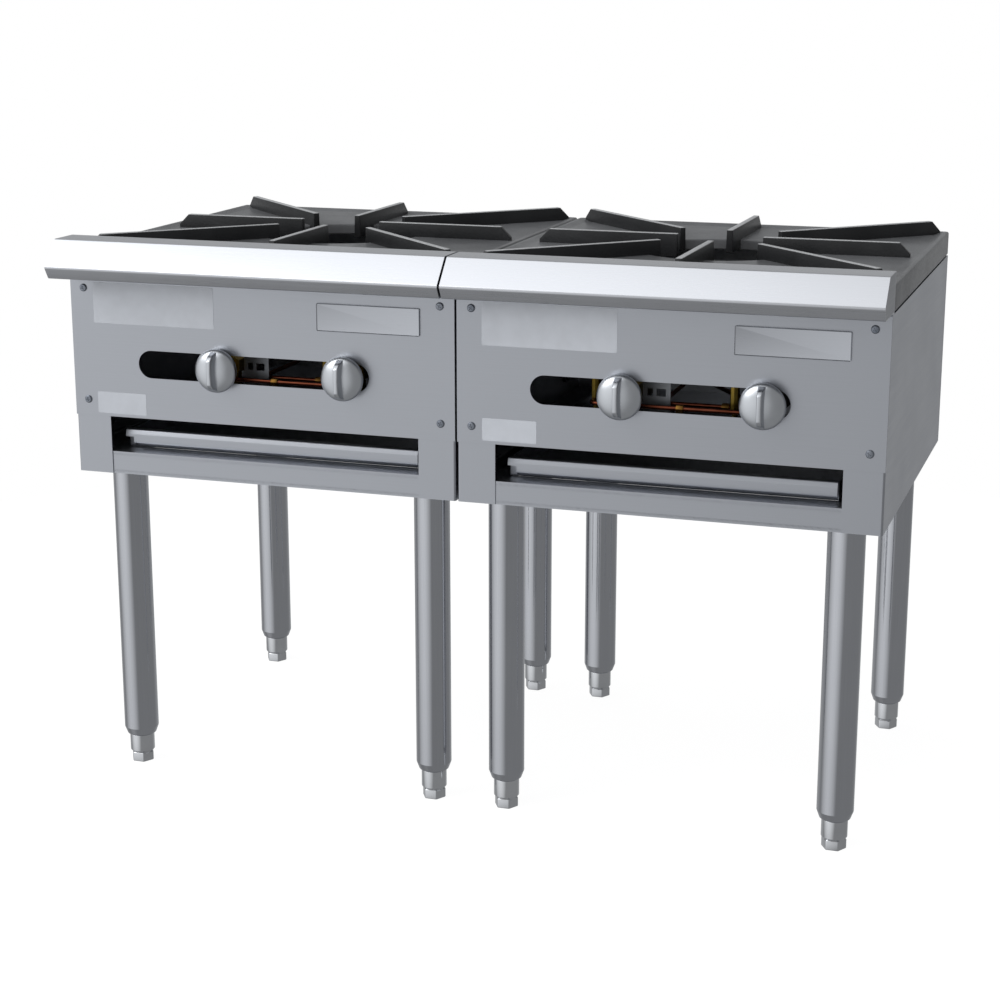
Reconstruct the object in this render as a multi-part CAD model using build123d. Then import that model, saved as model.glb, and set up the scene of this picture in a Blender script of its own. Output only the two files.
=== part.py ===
from build123d import *
import math
import os

# Two single-burner stock pot ranges standing side by side as one battery.
# Millimetres. Each range is laid out in its own frame first: x from its left side, y from the face of
# its control panel towards the rear, z up from the floor. The finished pieces are then shifted so that
# the origin lies on the floor under the middle of the whole battery, with +X to the right, -Y to the front.

# ---- overall ----
RANGE_WIDTH = 457.2        # one range, side to side
RANGE_GAP = 2.5            # air between the two bodies
BODY_DEPTH = 466.0         # control panel face to back panel face
CENTRE_X = RANGE_WIDTH / 2
BODY_BOTTOM = 362.5
BODY_HEIGHT = 226.5        # side panels, lower edge to upper edge
RAIL_HEIGHT = 25.5         # face of the bottom rail
TRAY_OPENING = 41.0        # height of the opening between the rail and the control panel
CONTROL_RISE = 62.5        # lower edge of the control panel to the knob and valve axes
BODY_TOP = BODY_BOTTOM + BODY_HEIGHT
RAIL_TOP = BODY_BOTTOM + RAIL_HEIGHT
PANEL_BOTTOM = RAIL_TOP + TRAY_OPENING
CONTROL_HEIGHT = PANEL_BOTTOM + CONTROL_RISE
SEAT_GAP = 0.3             # clearance at rest between a moving piece and its seat
FIT = 0.05                 # radial running clearance of a round fit
OVERLAP = 1.0              # how far joined forms of one piece reach into each other

# Round pieces that repeat have flat sides, which keeps the battery light. Their corners lie on the radius.
SMALL_SIDES = 8            # studs, screws, bolts, nipples and small tubes
TUBE_SIDES = 12            # foot barrels, mixing tubes, shutters, front run of the gas pipe
LEG_SIDES = 20
KNOB_SIDES = 24
HEAD_SIDES = 24            # centre burner head
RING_SIDES = 32            # outer burner ring

# ---- sheet metal ----
SHEET = 1.2
BEND = 1.2                 # inside radius of a fold
COLUMN_WIDTH = 42.5        # front flange of a side panel
REAR_FLANGE = 18.0
TOP_FLANGE = 18.0
PANEL_RETURN = 12.0        # stiffening fold along the lower edge of the control panel
PANEL_SHELF = 13.0         # fold at the top of the control panel, under the nose
RAIL_TOP_FOLD = 31.0
RAIL_BOTTOM_FOLD = 14.0
RAIL_LAP = 30.0            # how far the rail reaches behind each column

# ---- slot for the gas controls ----
SLOT_LEFT_REACH = 146.9    # from the middle of the range to the end of the slot
SLOT_RIGHT_REACH = 130.4
SLOT_HEIGHT = 31.3
OUTER_KNOB_REACH = 46.6    # from the middle of the range to the left
INNER_KNOB_REACH = 103.4   # and to the right
SLOT_LEFT = CENTRE_X - SLOT_LEFT_REACH
SLOT_RIGHT = CENTRE_X + SLOT_RIGHT_REACH
OUTER_KNOB_X = CENTRE_X - OUTER_KNOB_REACH
INNER_KNOB_X = CENTRE_X + INNER_KNOB_REACH

# ---- nose ----
NOSE_SHEET = 1.5
NOSE_REACH = 55.0          # foremost edge, ahead of the control panel
NOSE_SHELF = 29.0          # front of the flat shelf
NOSE_LIP = 47.0            # lower lip, set back under the sloping face
NOSE_BACK = 13.0           # rear wall of the nose, behind the control panel face
NOSE_RISE = 43.0           # shelf above the side panels
NOSE_EDGE_RISE = 14.6      # foremost edge above the side panels
NOSE_TOP = BODY_TOP + NOSE_RISE
NOSE_EDGE_HEIGHT = BODY_TOP + NOSE_EDGE_RISE
NOSE_BEND = 2.0
NOSE_FLOOR = 18.0          # width of each of the two folds under the nose

# ---- cast top ----
CASTING_GAP = 1.0          # between the nose and the casting
CASTING_RISE = 28.5        # rim of the casting above the side panels
CASTING_TOP = BODY_TOP + CASTING_RISE
CASTING_WALL = 8.0
CASTING_PLATE = 8.0
SKIRT_SLOT = 2.4           # open line between the skirt and the side panel
DISH_DEPTH = 3.0
DISH_RIM = 6.0
DISH_SLOPE = 14.0
CASTING_ROUND = 2.5
OPENING_RADIUS = 92.0
COLLAR_WALL = 9.0
COLLAR_DROP = 4.0
BURNER_Y = 245.0           # burner and fin centre
FIN_COUNT = 8
FIN_RISE = 13.0            # fins above the rim of the casting
FIN_NOSE_DROP = 13.5       # the inner ends hang down into the opening
FIN_TOP = CASTING_TOP + FIN_RISE
FIN_NOSE_BOTTOM = CASTING_TOP - FIN_NOSE_DROP
FIN_THICKNESS = 8.5
FIN_DRAFT = 0.8            # the fin is this much thinner on each side at its top
FIN_CHAMFER = 12.0
STRAIGHT_FIN_INNER = 49.0
STRAIGHT_FIN_MARGIN = 9.0  # from the end of a straight fin to the rear edge of the casting
CORNER_FIN_INNER = 80.0
CORNER_FIN_MARGIN = 4.625  # from the end of a corner fin to the rear edge of the casting
LUG_LENGTH = 22.0
LUG_INSET = 30.0
LUG_MARGIN = 1.0           # from the lug to the inner edge of the flange it rests on

# ---- burners ----
OUTER_RING_INNER = 62.0
OUTER_RING_OUTER = 88.0
RING_HEIGHT = 27.0
RING_CROWN = 5.0
RING_FLAT = 6.0            # half width of the flat top of the ring
INNER_HEAD_RADIUS = 38.0
INNER_HEAD_CROWN = 6.0
INNER_HEAD_FLAT = 26.0
SOCKET_RADIUS = 14.0       # collar under each burner for its mixing tube
PORT_WIDTH = 2.0
PORT_DEPTH = 3.5
PORT_REACH = 8.0
OUTER_PORTS = 16
INNER_PORTS = 12
SUPPORT_DROP = 49.0        # the bars that carry the burners, below the top of the side panels
SUPPORT_TOP = BODY_TOP - SUPPORT_DROP
SUPPORT_WIDTH = 14.0
SUPPORT_SHEET = 3.0
SUPPORT_TAB = 24.0
SUPPORT_SPREAD = 25.0      # each bar lies this far ahead of or behind the burner centre
BURNER_LUG = 9.0

# ---- gas train ----
MANIFOLD_RADIUS = 13.335   # three-quarter inch gas pipe
MANIFOLD_BORE = 10.5
INLET_BORE_DEPTH = 50.0
MANIFOLD_Y = 40.0
MANIFOLD_DROP = 36.5       # the pipe lies this far below the valves
MANIFOLD_Z = CONTROL_HEIGHT - MANIFOLD_DROP
MANIFOLD_LEFT = 8.0
MANIFOLD_INSET = 55.2      # rear run, from the right side of the range
MANIFOLD_REAR_X = RANGE_WIDTH - MANIFOLD_INSET
ELBOW_RADIUS = 17.0
ELBOW_REACH = 24.0
INLET_LENGTH = 25.0        # true round end of the pipe, for the gas hose or regulator
INLET_START = 1.0          # it begins this far behind the back panel
INLET_HOLE_GAP = 1.0
BRACKET_SHEET = 3.0
BRACKET_WIDTH = 36.0
BRACKET_MARGIN = 5.0
REAR_BRACKET_Y = 330.0
VALVE_FLATS = 22.0
VALVE_FRONT = 24.0
VALVE_REAR = 52.0
BONNET_RADIUS = 8.0
BONNET_FRONT = 15.0
HOOD_FLATS = 12.0
HOOD_REAR = 66.0
HOOD_OVERLAP = 6.0         # the hood reaches this far into the mixer mouth
NIPPLE_RADIUS = 7.0
VALVE_PLATE_ASIDE = 14.0   # punched plate, to the right of the outer valve's axis
VALVE_PLATE_WIDTH = 30.0
VALVE_PLATE_FRONT = 32.0
VALVE_PLATE_SHEET = 2.0
VALVE_PLATE_RISE = 28.5    # its top above the valve axes
VALVE_PLATE_HOLES = ((5.0, 11.0), (15.0, 25.0))     # from its left edge
VALVE_HOLE_RISE = 2.5      # its holes reach this far above the valve axes
VALVE_HOLE_DROP = 5.5      # and this far below them
SADDLE_DROP = 20.0         # top of the plate's foot, below the valve axes
VALVE_PLATE_LEFT = OUTER_KNOB_X + VALVE_PLATE_ASIDE
VALVE_PLATE_TOP = CONTROL_HEIGHT + VALVE_PLATE_RISE
VALVE_PLATE_HOLE_BOTTOM = CONTROL_HEIGHT - VALVE_HOLE_DROP
VALVE_PLATE_HOLE_TOP = CONTROL_HEIGHT + VALVE_HOLE_RISE
SADDLE_TOP = CONTROL_HEIGHT - SADDLE_DROP
PILOT_VALVE_OFFSET = 39.0  # pilot valve, left of each gas valve
PILOT_VALVE_RADIUS = 5.0
PILOT_VALVE_DROP = 19.5    # its foot below the valve axes
PILOT_VALVE_RISE = 11.5    # its top above them
PILOT_VALVE_BOTTOM = CONTROL_HEIGHT - PILOT_VALVE_DROP
PILOT_VALVE_TOP = CONTROL_HEIGHT + PILOT_VALVE_RISE
PILOT_NIPPLE_RADIUS = 3.0
TUBE_RADIUS = 2.4          # three-sixteenth inch copper tube
TUBE_DROP = 14.0           # the tubes leave the pilot valves this far below the valve axes
TUBE_LOW_DROP = 21.5
TUBE_HEIGHT = CONTROL_HEIGHT - TUBE_DROP
TUBE_LOW = CONTROL_HEIGHT - TUBE_LOW_DROP
FRONT_TUBE_Y = 17.0
PILOT_HEAD_RADIUS = 5.0
PILOT_HEAD_HEIGHT = 22.0
PILOT_GAP = 4.0            # air between a pilot head and the burner it lights
PILOT_ASIDE = 32.0
MIXER_RADIUS = 13.0
MIXER_MOUTH_RADIUS = 19.0
MIXER_MOUTH_RIM = 4.0
MIXER_MOUTH_LENGTH = 20.0
MIXER_BORE = 9.0
MIXER_BORE_DEPTH = 45.0
MIXER_STRAIGHT = 80.0      # run of the inner tube before it turns to the centre
SHUTTER_THICKNESS = 1.5

# ---- knobs and stems ----
STEM_RADIUS = 4.0
STEM_FRONT = -17.0
STEM_REAR = 40.0
KNOB_RADIUS = 24.5
KNOB_BACK = 4.0            # gap between the knob and the control panel face
KNOB_SKIRT = 7.0           # back face to the widest line
KNOB_BACK_RADIUS = 22.0
KNOB_SHOULDER = 5.0
KNOB_SHOULDER_RADIUS = 22.0
KNOB_DOME = 11.0           # widest line to the crown of the dome
KNOB_CROWN_RADIUS = 11.0
KNOB_RIDGE = 9.5           # width of the grip ridge
KNOB_RIDGE_REACH = 20.0    # the ridge stands this far ahead of the widest line
KNOB_RIDGE_FLAT = 15.0     # half length of the ridge's front edge
KNOB_RIDGE_EDGE = 1.2

# ---- legs and feet ----
LEG_X = 42.4               # leg centre from the side of the range
LEG_FRONT_Y = 42.0
LEG_REAR_INSET = 33.0      # rear leg centre from the back panel face
LEG_REAR_Y = BODY_DEPTH - LEG_REAR_INSET
LEG_RADIUS = 20.0
LEG_WALL = 1.5
LEG_BOTTOM = 35.0
LEG_TAPER_TOP = 43.0
LEG_TAPER_RADIUS = 17.2
LEG_PLUG = 6.0
LEG_COLLAR_TOP = 62.0
STUD_RADIUS = 5.0
FOOT_RADIUS = 14.3
FOOT_FLATS = 24.0
FOOT_HEX_HEIGHT = 11.0
FOOT_CHAMFER = 1.5
SHANK_RADIUS = 6.0
SHANK_CLEARANCE = 0.3
SHANK_TOP = 112.0

# ---- base frame ----
FRAME_SHEET = 2.5
CHANNEL_WIDTH = 28.0
CHANNEL_HEIGHT = 40.0
GUSSET = 3.0
GUSSET_REACH = 84.0        # from the side panel
CROSS_BAR = 26.0
NUT_FLATS = 17.0
NUT_HEIGHT = 8.0

# ---- drip tray and runners ----
TRAY_LEFT = 50.6
TRAY_RIGHT = RANGE_WIDTH - TRAY_LEFT
TRAY_LIP_FRONT = 20.0      # tip of the lip, behind the control panel face
TRAY_WALL_FRONT = 38.0
TRAY_REAR_GAP = 30.0       # rear wall to the back panel face
TRAY_HEIGHT = 23.0
TRAY_FOLD_RISE = 9.5       # where the front wall folds into the lip
TRAY_REAR = BODY_DEPTH - TRAY_REAR_GAP
TRAY_TOP = RAIL_TOP + TRAY_HEIGHT
TRAY_FOLD_HEIGHT = RAIL_TOP + TRAY_FOLD_RISE
RUNNER_SHEET = 1.5
RUNNER_INNER = 66.0
RUNNER_DROP = 15.0
RUNNER_FRONT = 60.0

# ---- small hardware ----
SCREW_HEAD_RADIUS = 4.4
SCREW_HEAD_HEIGHT = 1.8
SCREW_RADIUS = 2.4
SCREW_LENGTH = 7.0
SCREW_X = 16.3             # from either side of the range
SCREW_FOOT = 18.3          # lower screws above the lower edge of the control panel
SCREW_HEADROOM = 14.5      # upper screws below the top of the side panels
SCREW_LOW = PANEL_BOTTOM + SCREW_FOOT
SCREW_HIGH = BODY_TOP - SCREW_HEADROOM
BACK_SCREW_X = 10.0
BACK_SCREW_FOOT = 22.5
BACK_SCREW_HEADROOM = 24.0
BACK_SCREW_LOW = BODY_BOTTOM + BACK_SCREW_FOOT
BACK_SCREW_HIGH = BODY_TOP - BACK_SCREW_HEADROOM
BOLT_RADIUS = 3.0
BOLT_FLATS = 10.0
BOLT_HEAD = 4.0
BOLT_TAIL = 2.0
BOLT_FRONT_Y = 120.0
BOLT_REAR_INSET = 66.0     # from the back panel face
BOLT_FOOT = 62.5           # lower bolts above the lower edge of the side panels
BOLT_HEADROOM = 29.0       # upper bolts below their upper edge
BOLT_REAR_Y = BODY_DEPTH - BOLT_REAR_INSET
BOLT_LOW = BODY_BOTTOM + BOLT_FOOT
BOLT_HIGH = BODY_TOP - BOLT_HEADROOM
WASHER_RADIUS = 9.0

# ---- derived places ----
FLANGE_FACE = SHEET                       # front flanges lie behind the control panel
BACK_INNER = BODY_DEPTH - SHEET
RIGHT_INSIDE = RANGE_WIDTH - SHEET
CASTING_FRONT = NOSE_BACK + CASTING_GAP
CASTING_REACH = min(CENTRE_X, BODY_DEPTH - BURNER_Y, BURNER_Y - CASTING_FRONT)
STRAIGHT_FIN_OUTER = CASTING_REACH - STRAIGHT_FIN_MARGIN
CORNER_FIN_OUTER = (CASTING_REACH - CORNER_FIN_MARGIN) * math.sqrt(2)
SKIRT_BOTTOM = BODY_TOP + SKIRT_SLOT
PLATE_TOP = CASTING_TOP - DISH_DEPTH
PLATE_BOTTOM = PLATE_TOP - CASTING_PLATE
NOSE_BOTTOM = BODY_TOP + SHEET
RING_BOTTOM = SUPPORT_TOP + BURNER_LUG
RING_TOP = RING_BOTTOM + RING_HEIGHT
RING_MEAN = (OUTER_RING_INNER + OUTER_RING_OUTER) / 2
CHANNEL_INNER = SHEET + CHANNEL_WIDTH
GUSSET_TOP = BODY_BOTTOM + GUSSET
NUT_TOP = GUSSET_TOP + NUT_HEIGHT
FOOT_TOP = LEG_BOTTOM - SEAT_GAP
MIXER_FRONT = HOOD_REAR - HOOD_OVERLAP
TRAY_FLOOR = RAIL_TOP + SEAT_GAP
FRAME_FRONT = FLANGE_FACE + SHEET + RAIL_BOTTOM_FOLD + SEAT_GAP
INLET_FRONT = BODY_DEPTH + INLET_START
INLET_END = INLET_FRONT + INLET_LENGTH
LEG_PLACES = {
    "front_left": (LEG_X, LEG_FRONT_Y),
    "front_right": (RANGE_WIDTH - LEG_X, LEG_FRONT_Y),
    "rear_left": (LEG_X, LEG_REAR_Y),
    "rear_right": (RANGE_WIDTH - LEG_X, LEG_REAR_Y),
}


# ---- drawing helpers ----

def slab(x_span, y_span, z_span):
    """Block between two x, two y and two z values."""
    low = Vector(x_span[0], y_span[0], z_span[0])
    high = Vector(x_span[1], y_span[1], z_span[1])
    size = high - low
    return Pos(*((low + high) / 2)) * Box(size.X, size.Y, size.Z)


def up(sketch, z_span):
    """Sketch in x, y raised between two heights."""
    return extrude(Pos(0, 0, z_span[0]) * sketch, amount=z_span[1] - z_span[0])


def along_x(sketch, x_span):
    """Sketch drawn in y, z and drawn out between two x values."""
    return extrude(Plane.YZ.offset(x_span[0]) * sketch, amount=x_span[1] - x_span[0])


def along_y(sketch, y_span):
    """Sketch drawn in x, z and drawn out between two y values."""
    plane = Plane(origin=(0, y_span[0], 0), x_dir=(1, 0, 0), z_dir=(0, -1, 0))
    return extrude(plane * sketch, amount=y_span[1] - y_span[0], dir=(0, 1, 0))


def disc(radius, sides=SMALL_SIDES):
    """Flat-sided disc with its corners on the radius."""
    return RegularPolygon(radius, sides)


def post(x, y, z_span, radius, sides=SMALL_SIDES):
    """Upright flat-sided bar."""
    return up(Pos(x, y) * disc(radius, sides), z_span)


def spindle(x, z, y_span, radius, sides=SMALL_SIDES):
    """Flat-sided bar that runs front to back."""
    return along_y(Pos(x, z) * disc(radius, sides), y_span)


def round_spindle(x, z, y_span, radius):
    """True round bar that runs front to back, for what turns and for what a fitting screws onto."""
    return along_y(Pos(x, z) * Circle(radius), y_span)


def bore(radius):
    """Flat-sided hole with its flats on the radius, for a round stem."""
    return RegularPolygon(radius, SMALL_SIDES, major_radius=False)


def hexagon(flats, turn=0.0):
    """Hexagon given by the distance across its flats."""
    return Rot(0, 0, turn) * RegularPolygon(flats / 2, 6, major_radius=False)


def banded(outline, sides):
    """Upright flat-sided solid with one band between each two radius, height pairs."""
    rings = []
    for radius, height in outline:
        corners = [Vector(radius, 0, height).rotate(Axis.Z, index * 360 / sides) for index in range(sides)]
        rings.append(corners)
    faces = [Face(Wire.make_polygon(ring)) for ring in (rings[0], rings[-1])]
    for low, high in zip(rings, rings[1:]):
        for index in range(sides):
            after = (index + 1) % sides
            faces.append(Face(Wire.make_polygon([low[index], low[after], high[after], high[index]])))
    return Part() + Solid(Shell(faces))


def flat_tube(points, radius, sides=SMALL_SIDES):
    """Flat-sided tube along straight runs with mitred corners."""
    path = Polyline(*points)
    start = Plane(origin=path @ 0, z_dir=path % 0)
    return sweep(start * disc(radius, sides), path=path, transition=Transition.RIGHT)


def folded(points, thickness, bend):
    """Section of a folded sheet: the points follow one skin, the metal lies to its left."""
    path = [Vector(*point) for point in points]
    runs = [(b - a).normalized() for a, b in zip(path, path[1:])]
    left = [Vector(-run.Y, run.X) for run in runs]
    inner = [path[0] + left[0] * thickness]
    turns = []
    for corner, before, after in zip(path[1:-1], left, left[1:]):
        mitre = (before + after).normalized()
        inner.append(corner + mitre * (thickness / mitre.dot(before)))
        turns.append(before.X * after.Y - before.Y * after.X)
    inner.append(path[-1] + left[-1] * thickness)
    near = [bend + thickness if turn > 0 else bend for turn in turns]
    far = [bend if turn > 0 else bend + thickness for turn in turns]
    skin = FilletPolyline(*path, radius=near) if turns else Line(*path)
    back = FilletPolyline(*inner, radius=far) if turns else Line(*inner)
    return make_face(Curve() + [skin, Line(skin @ 1, back @ 1), back, Line(back @ 0, skin @ 0)])


def mirrored(piece):
    """The same piece on the other side of one range."""
    return mirror(piece, Plane.YZ.offset(CENTRE_X))


# ---- body sheets ----

def screw_places():
    return [(x, z) for x in (SCREW_X, RANGE_WIDTH - SCREW_X) for z in (SCREW_LOW, SCREW_HIGH)]


def back_screw_places():
    return [(x, z) for x in (BACK_SCREW_X, RANGE_WIDTH - BACK_SCREW_X)
            for z in (BACK_SCREW_LOW, BACK_SCREW_HIGH)]


def bolt_places():
    return [(y, z) for y in (BOLT_FRONT_Y, BOLT_REAR_Y) for z in (BOLT_LOW, BOLT_HIGH)]


def side_panel(joined):
    """Left side sheet: web, front column, rear flange and top flange. The joined one has bolt holes."""
    plan = folded([(REAR_FLANGE, BACK_INNER), (0, BACK_INNER), (0, FLANGE_FACE), (COLUMN_WIDTH, FLANGE_FACE)],
                  SHEET, BEND)
    sheet = up(plan, (BODY_BOTTOM, BODY_TOP))
    sheet += slab((SHEET / 2, TOP_FLANGE), (CASTING_FRONT, BACK_INNER - REAR_FLANGE),
                  (BODY_TOP - SHEET, BODY_TOP))
    sheet -= slab((0, COLUMN_WIDTH), (0, FLANGE_FACE + SHEET + BEND), (BODY_TOP - BEND, BODY_TOP))
    for x, z in screw_places():
        sheet -= spindle(x, z, (0, FLANGE_FACE + SHEET + OVERLAP), SCREW_RADIUS + FIT)
    for x, z in back_screw_places():
        sheet -= spindle(x, z, (BACK_INNER - 2 * SHEET, BODY_DEPTH), SCREW_RADIUS + FIT)
    if joined:
        for y, z in bolt_places():
            sheet -= along_x(Pos(y, z) * disc(BOLT_RADIUS + FIT), (-SHEET, 2 * SHEET))
    return sheet


def control_panel():
    """Front sheet with the rounded slot, a stiffening fold below and a shelf fold above."""
    section = folded([(PANEL_SHELF, NOSE_BOTTOM), (0, NOSE_BOTTOM), (0, PANEL_BOTTOM)], SHEET, BEND)
    sheet = along_x(section, (0, RANGE_WIDTH))
    sheet += slab((COLUMN_WIDTH + SHEET, RANGE_WIDTH - COLUMN_WIDTH - SHEET), (SHEET / 2, PANEL_RETURN),
                  (PANEL_BOTTOM, PANEL_BOTTOM + SHEET))
    slot_centre = Pos((SLOT_LEFT + SLOT_RIGHT) / 2, CONTROL_HEIGHT)
    slot = slot_centre * SlotOverall(SLOT_RIGHT - SLOT_LEFT, SLOT_HEIGHT)
    sheet -= along_y(slot, (-SHEET, 2 * SHEET))
    for x, z in screw_places():
        sheet -= spindle(x, z, (-SHEET, 2 * SHEET), SCREW_RADIUS + FIT)
    return sheet


def bottom_rail():
    """Folded rail behind the feet of the two columns."""
    face = FLANGE_FACE + SHEET
    section = folded([(face + RAIL_TOP_FOLD, RAIL_TOP), (face, RAIL_TOP), (face, BODY_BOTTOM),
                      (face + RAIL_BOTTOM_FOLD, BODY_BOTTOM)], SHEET, BEND)
    rail = along_x(section, (COLUMN_WIDTH - RAIL_LAP, RANGE_WIDTH - COLUMN_WIDTH + RAIL_LAP))
    notch = slab((0, CHANNEL_INNER + SEAT_GAP), (face + SHEET, face + RAIL_TOP_FOLD),
                 (BODY_BOTTOM + SHEET, RAIL_TOP))
    return rail - notch - mirrored(notch)


def back_panel():
    """Flat rear sheet with the hole for the gas inlet."""
    sheet = slab((0, RANGE_WIDTH), (BACK_INNER, BODY_DEPTH), (BODY_BOTTOM, BODY_TOP))
    hole = MANIFOLD_RADIUS + INLET_HOLE_GAP
    sheet -= spindle(MANIFOLD_REAR_X, MANIFOLD_Z, (BACK_INNER - SHEET, BODY_DEPTH + SHEET), hole, TUBE_SIDES)
    for x, z in back_screw_places():
        sheet -= spindle(x, z, (BACK_INNER - SHEET, BODY_DEPTH + SHEET), SCREW_RADIUS + FIT)
    return sheet


def front_nose():
    """Box-section nose folded from one sheet, open along the middle of its floor, with closed ends."""
    outline = [(NOSE_BACK, NOSE_BOTTOM), (NOSE_BACK, NOSE_TOP), (-NOSE_SHELF, NOSE_TOP),
               (-NOSE_REACH, NOSE_EDGE_HEIGHT), (-NOSE_LIP, NOSE_BOTTOM)]
    wrap = [(NOSE_BACK - NOSE_FLOOR, NOSE_BOTTOM)] + outline + [(-NOSE_LIP + NOSE_FLOOR, NOSE_BOTTOM)]
    nose = along_x(folded(wrap, NOSE_SHEET, NOSE_BEND), (0, RANGE_WIDTH))
    end_face = make_face(FilletPolyline(*outline, radius=NOSE_SHEET + NOSE_BEND, close=True))
    for start in (0, RANGE_WIDTH - NOSE_SHEET):
        nose += along_x(end_face, (start, start + NOSE_SHEET))
    return nose


# ---- cast top ----

def fin(inner, outer):
    """One radial fin along +x from the burner centre: square nose, level top, chamfered outer end."""
    collar = OPENING_RADIUS + COLLAR_WALL / 2
    foot = PLATE_BOTTOM + OVERLAP
    side = [(inner, FIN_NOSE_BOTTOM), (inner, FIN_TOP), (outer - FIN_CHAMFER, FIN_TOP),
            (outer, FIN_TOP - FIN_CHAMFER), (outer, foot), (collar, foot), (collar, FIN_NOSE_BOTTOM)]
    blade = along_y(make_face(Polyline(*side, close=True)), (-FIN_THICKNESS / 2, FIN_THICKNESS / 2))
    crest = blade.edges().filter_by(Axis.X).sort_by(Axis.Z)[-2:]
    return chamfer(crest, FIN_DRAFT)


def top_grate():
    """Cast top: dished plate on a skirt, round opening with a collar, eight fins, four resting lugs."""
    depth = BODY_DEPTH - CASTING_FRONT
    middle = (CASTING_FRONT + BODY_DEPTH) / 2
    body = slab((0, RANGE_WIDTH), (CASTING_FRONT, BODY_DEPTH), (SKIRT_BOTTOM, CASTING_TOP))
    body = fillet(body.faces().sort_by(Axis.Z)[-1].edges(), CASTING_ROUND)
    body -= slab((CASTING_WALL, RANGE_WIDTH - CASTING_WALL),
                 (CASTING_FRONT + CASTING_WALL, BODY_DEPTH - CASTING_WALL), (SKIRT_BOTTOM, PLATE_BOTTOM))
    edge = 2 * DISH_RIM
    floor = edge + 2 * DISH_SLOPE
    mouth = Pos(CENTRE_X, middle, CASTING_TOP) * Rectangle(RANGE_WIDTH - edge, depth - edge)
    base = Pos(CENTRE_X, middle, PLATE_TOP) * Rectangle(RANGE_WIDTH - floor, depth - floor)
    body -= loft([base, mouth])
    collar_bottom = PLATE_BOTTOM - COLLAR_DROP
    centre = Pos(CENTRE_X, BURNER_Y)
    body += up(centre * Circle(OPENING_RADIUS + COLLAR_WALL), (collar_bottom, PLATE_BOTTOM))
    body -= up(centre * Circle(OPENING_RADIUS), (collar_bottom, CASTING_TOP))
    straight = fin(STRAIGHT_FIN_INNER, STRAIGHT_FIN_OUTER)
    corner = fin(CORNER_FIN_INNER, CORNER_FIN_OUTER)
    for index in range(FIN_COUNT):
        blade = straight if index % 2 == 0 else corner
        body += centre * Rot(0, 0, index * 360 / FIN_COUNT) * blade
    lugs = []
    for y in (CASTING_FRONT + LUG_INSET, BODY_DEPTH - LUG_INSET - LUG_LENGTH):
        lug = slab((CASTING_WALL - OVERLAP, TOP_FLANGE - LUG_MARGIN), (y, y + LUG_LENGTH),
                   (BODY_TOP, PLATE_BOTTOM + OVERLAP))
        lugs += [lug, mirrored(lug)]
    return body + lugs


# ---- burners ----

def ports(count, radius, top):
    """Sawn gas ports round the upper edge of a burner."""
    cut = Pos(radius, 0, top - PORT_DEPTH / 2) * Box(PORT_REACH, PORT_WIDTH, PORT_DEPTH)
    return [Rot(0, 0, (index + 0.5) * 360 / count) * cut for index in range(count)]


def burner_feet(radius):
    """Four feet that stand on the two support bars."""
    reach = math.sqrt(radius ** 2 - SUPPORT_SPREAD ** 2)
    size = BURNER_LUG
    feet = []
    for x in (-reach, reach):
        for y in (-SUPPORT_SPREAD, SUPPORT_SPREAD):
            feet.append(slab((x - size / 2, x + size / 2), (y - size / 2, y + size / 2),
                             (SUPPORT_TOP, RING_BOTTOM + OVERLAP)))
    return feet


def outer_socket():
    """Where the outer mixing tube meets the ring, from the burner centre: in line with the outer valve."""
    x = OUTER_KNOB_X - CENTRE_X
    return x, -math.sqrt(RING_MEAN ** 2 - x ** 2)


def outer_burner():
    """Cast ring with a crowned top and sawn ports, and the socket for its mixing tube."""
    shoulder = RING_TOP - RING_CROWN
    ring = banded([(OUTER_RING_OUTER, RING_BOTTOM), (OUTER_RING_OUTER, shoulder),
                   (RING_MEAN + RING_FLAT, RING_TOP)], RING_SIDES)
    ring -= banded([(OUTER_RING_INNER, RING_BOTTOM), (OUTER_RING_INNER, shoulder),
                    (RING_MEAN - RING_FLAT, RING_TOP)], RING_SIDES)
    ring -= ports(OUTER_PORTS, OUTER_RING_OUTER, shoulder + PORT_DEPTH / 2)
    ring += burner_feet(RING_MEAN)
    socket_span = (RING_BOTTOM - BURNER_LUG, RING_BOTTOM + OVERLAP)
    ring += post(*outer_socket(), socket_span, SOCKET_RADIUS, TUBE_SIDES)
    return Pos(CENTRE_X, BURNER_Y) * ring


def inner_burner():
    """Cast centre head with sawn ports, its feet and the socket for its mixing tube."""
    shoulder = RING_TOP - INNER_HEAD_CROWN
    head = banded([(INNER_HEAD_RADIUS, RING_BOTTOM), (INNER_HEAD_RADIUS, shoulder),
                   (INNER_HEAD_FLAT, RING_TOP)], HEAD_SIDES)
    head -= ports(INNER_PORTS, INNER_HEAD_RADIUS, shoulder + PORT_DEPTH / 2)
    head += burner_feet(INNER_HEAD_RADIUS - BURNER_LUG / 2)
    head += post(0, 0, (RING_BOTTOM - BURNER_LUG, RING_BOTTOM + OVERLAP), SOCKET_RADIUS, TUBE_SIDES)
    return Pos(CENTRE_X, BURNER_Y) * head


def burner_supports():
    """Two flat bars across the body, with end tabs on the side panels."""
    bars = []
    tab_bottom = SUPPORT_TOP - SUPPORT_TAB
    for y in (BURNER_Y - SUPPORT_SPREAD, BURNER_Y + SUPPORT_SPREAD):
        width = (y - SUPPORT_WIDTH / 2, y + SUPPORT_WIDTH / 2)
        bar = slab((SHEET, RIGHT_INSIDE), width, (SUPPORT_TOP - SUPPORT_SHEET, SUPPORT_TOP))
        tab = slab((SHEET, SHEET + SUPPORT_SHEET), width, (tab_bottom, SUPPORT_TOP))
        bars.append(bar + tab + mirrored(tab))
    return bars


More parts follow.
